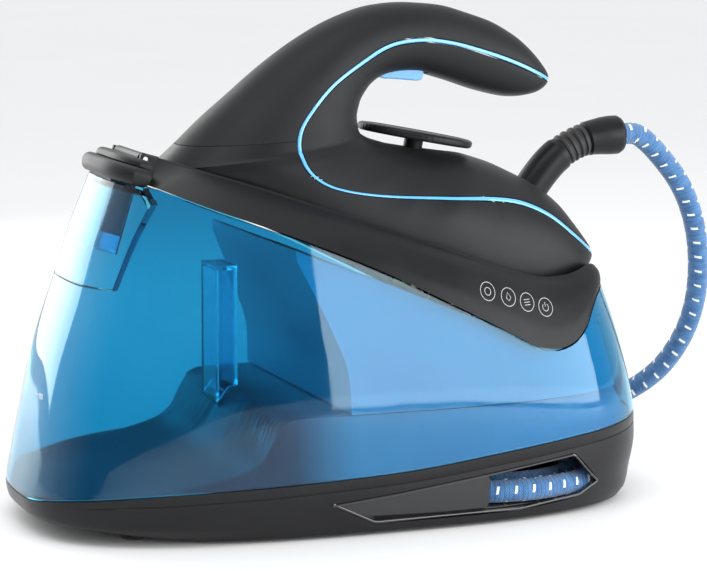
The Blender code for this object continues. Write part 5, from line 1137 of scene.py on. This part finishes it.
def build_housing():
    """The closed housing that keeps the boiler out of the water."""
    outer, inner, sections = [], [], {}
    edge = curve_through([(0.045, -0.026), (0.070, -0.019), (0.095, -0.020), (0.125, -0.030),
                          (0.165, -0.048)])
    rows, count = 16, 120
    rough = clipped_outline(0.12, WALL + 0.004, -0.03, count)
    tops = [min(deck_height(p.x) - HOUSING_DROP, COVER_EDGE(max(p.x, -0.05)) - 2 * GAP) for p in rough]
    for row in range(rows + 1):
        for i, top in enumerate(tops):
            z = HOUSING_FOOT + (top - HOUSING_FOOT) * row / rows
            if z not in sections:
                reach = BASE_RIGHT * RIGHT_LEAN(z) - HOUSING_BACK
                out, far = WALL + HOUSING_SIDE, HOUSING_THICK
                sections[z] = (clipped_outline(z, out, edge(z), count, reach),
                               clipped_outline(z, out + far, edge(z) + far, count, reach - far))
            outer.append(sections[z][0][i])
            inner.append(sections[z][1][i])
    thick_sheet("boiler_housing", outer, inner, grid_faces(rows + 1, count + 1, closed=True), HOUSING, "base",
                slot="housing_grey", replaces=["inner_housing"])


RIM = [(290, 0, 6), (289, 18, 6.5), (284, 36, 8), (275, 49, 8.5), (264, 57, 2), (250, 61.5, -4.5),
       (230, 65.5, -8),
       (205, 67.5, -7.5), (171, 66.5, -6), (130, 62.5, -4), (91, 56, -3), (54, 47, -2), (25, 35, -2),
       (6, 23, -2), (-6, 11, -2), (-9.5, 0, -2)]


def outline_fractions(points, count):
    """Points at equal distances along a dense list, from its first to its last."""
    run = [0.0]
    for a, b in zip(points, points[1:]):
        run.append(run[-1] + (b - a).length)
    out, k = [], 0
    for i in range(count + 1):
        want = run[-1] * i / count
        while k < len(run) - 2 and run[k + 1] < want:
            k += 1
        part = (want - run[k]) / max(run[k + 1] - run[k], 1e-9)
        out.append(points[k].lerp(points[k + 1], min(max(part, 0.0), 1.0)))
    return out


def moved_in(ring, distance):
    """A closed outline drawn in by a distance, square to itself in plan."""
    out = []
    for i, p in enumerate(ring):
        along = ring[(i + 1) % len(ring)] - ring[i - 1]
        inward = Vector((-along.y, along.x, 0)).normalized()
        out.append(p + inward * distance)
    return out


def cover_lower_edge(count):
    """Half of the deck cover's lower edge, from the +X end along the +Y side to the front's middle."""
    dense = []
    for i in range(361):
        a = math.pi * i / 360
        p = wall_at(a, lambda x: COVER_EDGE(max(x, COVER_FRONT)) + GAP)
        x = max(p.x, COVER_FRONT)
        dense.append(Vector((x, p.y, COVER_EDGE(x) + GAP)))
    dense[0].y = dense[-1].y = 0.0
    return outline_fractions(dense, count)


def rim_curve(count, inset=0.0, rise=0.0):
    points = [Vector((u / 1000 * LENGTH_SHARE, y / 1000 * WIDTH_SHARE, w / 1000)) for u, y, w in RIM]
    before = Vector((points[1].x, -points[1].y, points[1].z))
    after = Vector((points[-2].x, -points[-2].y, points[-2].z))
    chain = [before] + points + [after]
    dense = []
    for i in range(1, len(chain) - 2):
        for k in range(20):
            t = k / 20
            a, b, c, d = chain[i - 1], chain[i], chain[i + 1], chain[i + 2]
            dense.append(0.5 * (2 * b + (c - a) * t + (2 * a - 5 * b + 4 * c - d) * t * t
                                + (3 * b - a - 3 * c + d) * t ** 3))
    dense.append(points[-1].copy())
    centre = Vector((0.140 * LENGTH_SHARE, 0, 0))
    out = []
    for p in outline_fractions(dense, count):
        flat = Vector((p.x - centre.x, p.y, 0))
        grow = 1 + inset / flat.length
        out.append(Vector((centre.x + flat.x * grow, flat.y * grow, p.z + rise)))
    return out


def mirrored(half):
    """The whole closed outline from its +Y half."""
    other = [Vector((p.x, -p.y, p.z)) for p in reversed(half[1:-1])]
    return half + other


def build_cover():
    """The black deck cover: side skirt, rim round the iron, well and deck plate, as one wall."""
    half = 100
    low_out = mirrored(cover_lower_edge(half))
    low_in = moved_in(low_out, WALL)
    rim_out = [from_deck(*p) for p in mirrored(rim_curve(half, 0.0035))]
    rim_under = [from_deck(*p) for p in mirrored(rim_curve(half, 0.0010, -0.0035))]

    def well_point(p, w):
        return from_deck(p.x + 0.0045 * smooth_step((0.012 - p.x) / 0.02), p.y, w)

    well = [well_point(p, DECK_PLATE) for p in mirrored(rim_curve(half, -0.0008))]
    well_under = [well_point(p, DECK_PLATE - 0.002) for p in mirrored(rim_curve(half, 0.0014))]
    bulge_at = curve_through([(0.0, 0.0), (0.30, 0.0035), (0.62, 0.0045), (0.85, 0.0028), (1.0, 0.0)])

    def bulged(a, b, share):
        p = a.lerp(b, share)
        away = Vector((p.x - 0.02, p.y, 0.06)).normalized()
        most = smooth_step((p.x + 0.120) / 0.04) * min(abs(b.z - a.z) / 0.03, 1.0)
        return p + away * bulge_at(share) * most

    outer, inner = list(low_out), list(low_in)
    for k in range(1, 18):
        outer += [bulged(a, b, k / 18) for a, b in zip(low_out, rim_out)]
        inner += [bulged(a, b, k / 18) for a, b in zip(low_in, rim_under)]
    # the rim's rounded top: outwards, upwards, and how far the inner sheet has gone towards the well
    for out, up, share in ((0.0035, 0.0, 0.0), (0.0030, 0.0005, 0.05), (0.0022, 0.0008, 0.10),
                           (0.0012, 0.0008, 0.15),
                           (0.0006, 0.0006, 0.20), (0.0002, 0.0003, 0.25), (0.0, 0.0, 0.30)):
        outer += [from_deck(*p) for p in mirrored(rim_curve(half, out, up))]
        inner += [a.lerp(b, share) for a, b in zip(rim_under, well_under)]
    outer += well
    inner += well_under
    count = len(low_out)
    rows = len(outer) // count
    faces = grid_faces(rows, count, closed=True)
    faces.append(tuple((rows - 1) * count + i for i in range(count)))
    cover = thick_sheet("cover_shell", outer, inner, faces, SATIN, "base", slot="black_plastic",
                        replaces=["deck_cover"])
    soften(cover, 0.0003, angle=55)
    for side, name in ((-1, "hinge_ear_near"), (1, "hinge_ear_far")):
        y = side * EAR_PLACE
        deck_block(name, (LID_AXIS[0] - 0.0030, y - 0.002, LID_AXIS[1] - 0.0115),
                   (LID_AXIS[0] + 0.0075, y + 0.002, LID_AXIS[1] + 0.0025), SATIN, "base", bevel=0.0006,
                   slot="black_plastic")
    return cover


def lid_outline(grow, front, count=20):
    """The lid's plan in the deck frame: the outer form's left end, square at its hinge side."""
    half = LID_HALF + grow
    along = BASE_LEFT * LEFT_LEAN(0.215) + grow
    across = 0.5 * BASE_WIDTH * SIDE_LEAN(0.215) + grow
    ring = [(front, -half)]
    for i in range(count + 1):
        y = half * math.sin(0.5 * math.pi * (2 * i / count - 1))
        x = -along * (1 - (abs(y) / across) ** PLAN_POWER) ** (1 / PLAN_POWER)
        ring.append(((x - DECK_ORIGIN[0]) / math.cos(math.radians(DECK_TILT)) + 0.004, y))
    return ring + [(front, half)]


def build_lid():
    """The filler's flap lid: a thick lower flap with a rounded nose, and a thin top plate with its barrel."""
    def layer(name, levels, front, grow, **words):
        rings = [[from_deck(u, y, w) for u, y in lid_outline(grow - inset, front - inset, 48)] for w,
                 inset in levels]
        return loft(name, rings, SATIN, "lid", slot="black_plastic", **words)

    nose = [(-0.0205, 0.0030), (-0.0199, 0.0020), (-0.0190, 0.0012), (-0.0180, 0.0007), (-0.0165, 0.0002),
            (-0.0150, 0.0), (-0.0135, 0.0), (-0.0122, 0.0004), (-0.0112, 0.0011), (-0.0103, 0.0021),
            (-0.0097, 0.0032)]
    flap = layer("lid_flap", nose, LID_AXIS[0] + 0.0015, LID_OVERHANG, replaces=["filler_lid"])
    top = [(-0.0092, 0.0003), (-0.0089, 0.0), (-0.0066, 0.0002), (-0.0056, 0.0010), (-0.0048, 0.0022),
           (-0.0045, 0.0034)]
    cap = layer("lid_top", top, LID_AXIS[0] + 0.0024, -0.0015, replaces=["lid_cap"])
    for obj in (flap, cap):
        carve(obj, [deck_block(f"notch_{side}",
                               (LID_AXIS[0] - 0.0042, side * EAR_PLACE - 0.0030, LID_AXIS[1] - 0.0175),
                               (LID_AXIS[0] + 0.0120, side * EAR_PLACE + 0.0030, LID_AXIS[1] + 0.0040))
                    for side in (-1, 1)])
    hinge = from_deck(LID_AXIS[0], 0, LID_AXIS[1])
    turned("lid_barrel", hinge - Vector((0, 0.0260, 0)), (0, 1, 0),
           [(0, 0.0028), (0.0004, 0.0032), (0.0516, 0.0032),
                                                                     (0.0520, 0.0028)],
           SATIN, "lid", slot="black_plastic")


# ---------------------------------------------------------------- the iron
COVER_START = 0.60
COVER_END = 28.60


def iron_rows(start, end, step):
    count = max(int(round((end - start) / step)), 1)
    return [start + (end - start) * i / count for i in range(count + 1)]


def across_gap(s, distance):
    """A distance along the section line, as a share of its length."""
    inner, outer, _, _ = iron_section(s)
    return distance / max((outer - inner).length, 1e-4)


def deck_points(points):
    return [from_deck(*p) for p in points]


def iron_panel(name, rows, first, last, columns, material, **words):
    """A wall of the iron between two shares of each section, on both sides."""
    outer, inner = [], []
    for s in rows:
        a, b = first(s), last(s)
        shares = [a + (b - a) * (1 - math.cos(0.5 * math.pi * j / columns)) if b < a
                  else a + (b - a) * math.sin(0.5 * math.pi * j / columns) for j in range(columns + 1)]
        for side, line in ((-1, shares), (1, shares[::-1])):
            outer += [iron_point(s, t, side) for t in line]
            inner += [iron_point(s, t, side, SHELL) for t in line]
    width = 2 * (columns + 1)
    return thick_sheet(name, deck_points(outer), deck_points(inner),
                       grid_faces(len(rows), width, skip=lambda i, j: j == columns), material, "iron",
                       **words)


SEAM_HALF = 0.012            # half the seam between the iron's two upper shells, in stations


def build_shells():
    """The iron's outer shells, its inner shell, the trim lines between them, and the two closed ends."""
    trim = share_curve()
    gap = TRIM_HALF + 2 * GAP

    def above(s):
        return min(trim(s) + across_gap(s, gap), 0.97)

    def below(s):
        return max(trim(s) - across_gap(s, gap), 0.03)

    iron_panel("iron_body", iron_rows(SEAM_STATION + SEAM_HALF, TIP_STATION, 0.12)
               + iron_rows(TIP_STATION + 0.10, COVER_END, 0.12), above, lambda s: 1.0, 22, SATIN,
               slot="satin_black", replaces=["body_shell"], bevel=0.0002)
    iron_panel("handle_shell", iron_rows(COVER_START, SEAM_STATION - SEAM_HALF, 0.12), above, lambda s: 1.0,
               22, SOFT,
               slot="black_plastic", replaces=["handle_cover"], bevel=0.0002)
    inside = iron_panel("inner_shell", iron_rows(COVER_START, COVER_END, 0.16), below, lambda s: 0.0, 20,
                        SOFT,
                        slot="satin_black", replaces=["inner_cover"])
    for side, name, node_name in ((-1, "trim_line_near", "trim_strip_near"),
                                  (1, "trim_line_far", "trim_strip_far")):
        rings = []
        for s in iron_rows(COVER_START, COVER_END, 0.12):
            half = across_gap(s, TRIM_HALF - 0.0001)
            t = trim(s)
            rings.append(deck_points([iron_point(s, t + half * k, side, -TRIM_PROUD * lift)
                                      for k, lift in ((-1.0, 0.2), (-0.7, 0.8), (0.0, 1.0), (0.7, 0.8),
                                                      (1.0, 0.2))]
                                     + [iron_point(s, t + half, side, 0.0012),
                                        iron_point(s, t - half, side, 0.0012)]))
        loft(name, rings, TRIM_BLUE, "iron", slot="trim_blue", replaces=[node_name])
    for name, node_name, rows in (("handle_tip", "handle_end_cap", iron_rows(0.04, COVER_START - 0.10, 0.04)),
                                  ("heel_tip", "heel_cap", iron_rows(COVER_END + 0.08, LAST, 0.03))):
        rings = []
        for s in rows:
            line = [0.5 - 0.5 * math.cos(math.pi * j / 24) for j in range(25)]
            ring = [iron_point(s, t, -1) for t in line] + [iron_point(s, t, 1) for t in line[-2:0:-1]]
            rings.append(deck_points(ring))
        loft(name, rings, SOFT, "iron", slot="black_plastic", replaces=[node_name])
    return inside


def build_controls():
    """Trigger and dial, and the cutters that make room for them; the dial's edge is knurled."""
    u, w = TRIGGER_PIVOT
    profile = [(-0.0040, -0.0012), (-0.0010, -0.0058), (0.0040, -0.0064), (0.0120, -0.0044),
               (0.0200, -0.0028),
               (0.0265, -0.0015), (0.0296, 0.0000), (0.0290, 0.0060), (0.0240, 0.0075), (0.0120, 0.0060),
               (0.0030, 0.0052), (-0.0035, 0.0035)]
    outline = rounded([(u + a, w + b) for a, b in profile], 0.0020, 4)
    half = 0.5 * TRIGGER_WIDTH
    loft("trigger_pad", [[from_deck(p.x, y, p.y) for p in outline] for y in (-half, half)], TRIGGER_BLUE,
         "trigger",
         bevel=0.0010, slot="trigger_blue", replaces=["trigger"])
    slot_half = half + TRIGGER_SLACK
    slot = deck_block("trigger_slot", (u - 0.0066, -slot_half, w - 0.0140),
                      (u + 0.0324, slot_half, w + 0.0125))
    cu, cw = DIAL_CENTRE
    tilt = math.radians(DIAL_TILT)
    axis = Vector((-math.sin(tilt), 0, math.cos(tilt)))
    low = Vector((cu, 0, cw)) - axis * DIAL_THICK
    radius = 0.5 * DIAL_DIAMETER
    shaft = 0.5 * DIAL_SHAFT
    count = 180
    side = Vector((0, 1, 0))
    other = axis.cross(side)
    rings = []
    for d, r, knurl in ((-0.0120, shaft, 0), (-0.0003, shaft, 0), (0.0, shaft + 0.0004, 0),
                        (0.0, radius - 0.0020, 0), (0.0004, radius - 0.0010, 0),
                        (0.0012, radius - 0.0002, 0.6),
                        (0.0016, radius, 1), (DIAL_THICK - 0.0020, radius, 1),
                        (DIAL_THICK - 0.0014, radius - 0.0003, 0.6),
                        (DIAL_THICK - 0.0007, radius - 0.0010, 0), (DIAL_THICK - 0.0002, radius - 0.0024, 0),
                        (DIAL_THICK, radius - 0.0050, 0), (DIAL_THICK - 0.0004, radius - 0.0056, 0),
                        (DIAL_THICK - 0.0004, radius - 0.0180, 0)):
        ring = []
        for k in range(count):
            a = 2 * math.pi * k / count
            reach = r - 0.00035 * knurl * (k % 3 == 0)
            ring.append(from_deck(*(low + axis * d + (side * math.cos(a) + other * math.sin(a)) * reach)))
        rings.append(ring)
    loft("dial_knob", rings, SATIN, "dial", slot="black_plastic", replaces=["dial"], smooth=28)
    bore_rings = [[from_deck(*p) for p in circle(low + axis * d, shaft + 0.0004, axis,
                                                 48)] for d in (-0.0130, 0.0170)]
    bore = loft("dial_bore", bore_rings, None)
    return [slot, bore]


GUARD_PATH = [(0.2425, 0.0340), (0.2455, 0.0450), (0.2495, 0.0560), (0.2550, 0.0670), (0.2625, 0.0765),
              (0.2720, 0.0845), (0.2830, 0.0900), (0.2955, 0.0945)]
GUARD_STEP = 0.0006
RELIEF_START = 0.50
SLEEVE_START = 0.71


def build_guard():
    """Hose guard on the heel: a socket, a ribbed relief and a flared sleeve, bored; returns its cutter."""
    whole = spline_points([(u, 0, w) for u, w in GUARD_PATH], GUARD_STEP)
    ways = directions(whole)
    last = len(whole) - 1
    radius = 0.5 * GLAND_DIAMETER
    wide = 0.5 * SLEEVE_DIAMETER
    hole = 0.5 * HOSE_DIAMETER

    def piece(name, first, final, radius_at, bore, material, **words):
        rings, holes = [], []
        for i in range(first, final + 1):
            p = whole[i] + (ways[i] * GAP if i == first and first else Vector((0, 0, 0)))
            rings.append(deck_points(circle(p, radius_at((i - first) / (final - first)), ways[i], ROUND)))
            holes.append(deck_points(circle(p, bore, ways[i], ROUND)))
        loops = rings + holes[::-1] + rings[:1]
        solid(name, [v for ring in loops for v in ring], grid_faces(len(loops), ROUND, closed=True), material,
              "iron", **words)

    one, two = int(round(RELIEF_START * last)), int(round(SLEEVE_START * last))
    piece("guard_socket", 0, one, lambda t: radius - 0.0010 * smooth_step((t - 0.93) / 0.07), hole - 0.002,
          SATIN,
          slot="black_plastic", replaces=["hose_guard"])
    ribs = 4
    piece("guard_relief", one, two,
          lambda t: radius - 0.0005 - 0.0013 * smooth_step(0.5 + 1.3 * math.cos(2 * math.pi * ribs * t)),
          hole - 0.002, RUBBER, slot="rubber", replaces=["hose_relief"])

    def flare(t):
        lip = 0.0012 * (smooth_step((t - 0.90) / 0.10) + smooth_step((0.05 - t) / 0.05))
        return radius + (wide - radius) * smooth_step(1.3 * t) - lip

    piece("guard_sleeve", two, last, flare, hole + 2 * GAP, SATIN, slot="black_plastic",
          replaces=["hose_sleeve"])
    inside = [whole[0] - ways[0] * 0.008] + whole[:one // 2]
    rings = [deck_points(circle(p, radius + GAP, ahead, ROUND))
             for p, ahead in zip(inside, directions(inside))]
    return loft("guard_bore", rings, None)


# ---------------------------------------------------------------- printed lines
def lay_strokes(name, surface, strokes, width, material, origin, ahead, slot):
    """Thin printed lines on a surface: each stroke is a path of points that are cast onto it along ahead."""
    tree = BVHTree.FromPolygons([v.co.copy() for v in surface.data.vertices],
                                [tuple(f.vertices) for f in surface.data.polygons])
    verts, faces = [], []
    for points in strokes:
        closed = (points[0] - points[-1]).length < 1e-6
        start, kept = len(verts), points[:-1] if closed else points
        for i, p in enumerate(kept):
            before = kept[i - 1] if i or closed else p
            after = kept[(i + 1) % len(kept)] if i + 1 < len(kept) or closed else p
            off = (after - before).normalized().cross(ahead) * 0.5 * width
            for q, lift in ((p - off, -0.0002), (p - off, 0.00008), (p + off, 0.00008), (p + off, -0.0002)):
                hit = tree.ray_cast(origin + q, ahead)[0]
                verts.append(hit - ahead * lift)
        count = len(kept)
        for i in range(count if closed else count - 1):
            a, b = start + 4 * i, start + 4 * ((i + 1) % count)
            faces += [(a + k, a + (k + 1) % 4, b + (k + 1) % 4, b + k) for k in range(4)]
        if not closed:
            faces += [(start, start + 1, start + 2, start + 3),
                      tuple(start + 4 * count - k for k in (1, 2, 3, 4))]
    return solid(name, verts, faces, material, "base", slot=slot)


def arc(centre, radius, first=0, last=360, steps=36):
    """Points round a centre in the XZ plane."""
    return [centre + Vector((radius * math.cos(math.radians(first + (last - first) * k / steps)), 0,
                             radius * math.sin(math.radians(first + (last - first) * k / steps))))
            for k in range(steps + 1)]


BADGES = [0.196, 0.211, 0.225, 0.239]      # where along the deck each round badge's middle is
BADGE_DROP = -0.0235                       # how far below the deck
BADGE_RADIUS = 0.0052


LINE_WIDTH = 0.00035
MARK_WIDTH = 0.00045
MARK_SIZE = 0.0030                         # height of the level mark's letters
MARK_PLACE = (-0.0150, 0.0800)             # y and z of its start


def build_prints(cover, tank):
    """Four plain round badges with generic marks on the cover's side, and the level mark on the tank."""
    strokes = []
    for k, u in enumerate(BADGES):
        middle = from_deck(u, 0, BADGE_DROP)
        strokes.append(arc(middle, BADGE_RADIUS, 0, 360))
        r = 0.42 * BADGE_RADIUS
        if k == 0:
            strokes.append(arc(middle, r, 0, 360, 18))
        elif k == 1:
            strokes.append([middle + Vector((x * r, 0, z * r)) for x,
                            z in ((0, 1.2), (-0.8, -0.2), (0, -1), (0.8, -0.2),
                                                                           (0, 1.2))])
        elif k == 2:
            strokes += [[middle + Vector((-r, 0, z * r)), middle + Vector((r, 0, z * r))] for z in (-0.7, 0,
                                                                                                    0.7)]
        else:
            strokes += [arc(middle, r, 130, 410, 16),
                        [middle + Vector((0, 0, 0.2 * r)), middle + Vector((0, 0, 1.3 * r))]]
    lay_strokes("cover_badges", cover, strokes, LINE_WIDTH, PRINT, Vector((0, -0.3, 0)), Vector((0, 1, 0)),
                "white_plastic")
    letters = (((0, 0), (0, 1), (0.35, 1), (0.35, 0), (0.35, 1), (0.7, 1), (0.7, 0)),
               ((1.5, 0), (1.5, 1), (1.0, 1), (1.0, 0), (1.5, 0)), ((1.8, 0), (2.4, 1)), ((1.8, 1), (2.4, 0)),
               ((-2.2, 0.5), (-0.6, 0.5)))
    y0, z0 = MARK_PLACE
    marks = [[Vector((0, y0 - y * MARK_SIZE, z0 + z * MARK_SIZE)) for y, z in letter] for letter in letters]
    lay_strokes("level_mark", tank, marks, MARK_WIDTH, PRINT_WHITE, Vector((-0.3, 0, 0)), Vector((1, 0, 0)),
                "white_plastic")


# ---------------------------------------------------------------- put together
angles = even_angles(AROUND)[:-1]
build_tray(angles)
build_window_frames()
build_bay()
build_bay_panels()
build_chassis(angles)
tank = build_tank(angles)
build_filler()
build_housing()
cover = build_cover()
build_lid()
build_prints(cover, tank)
inner_shell = build_shells()
carve(inner_shell, build_controls() + [build_guard()])
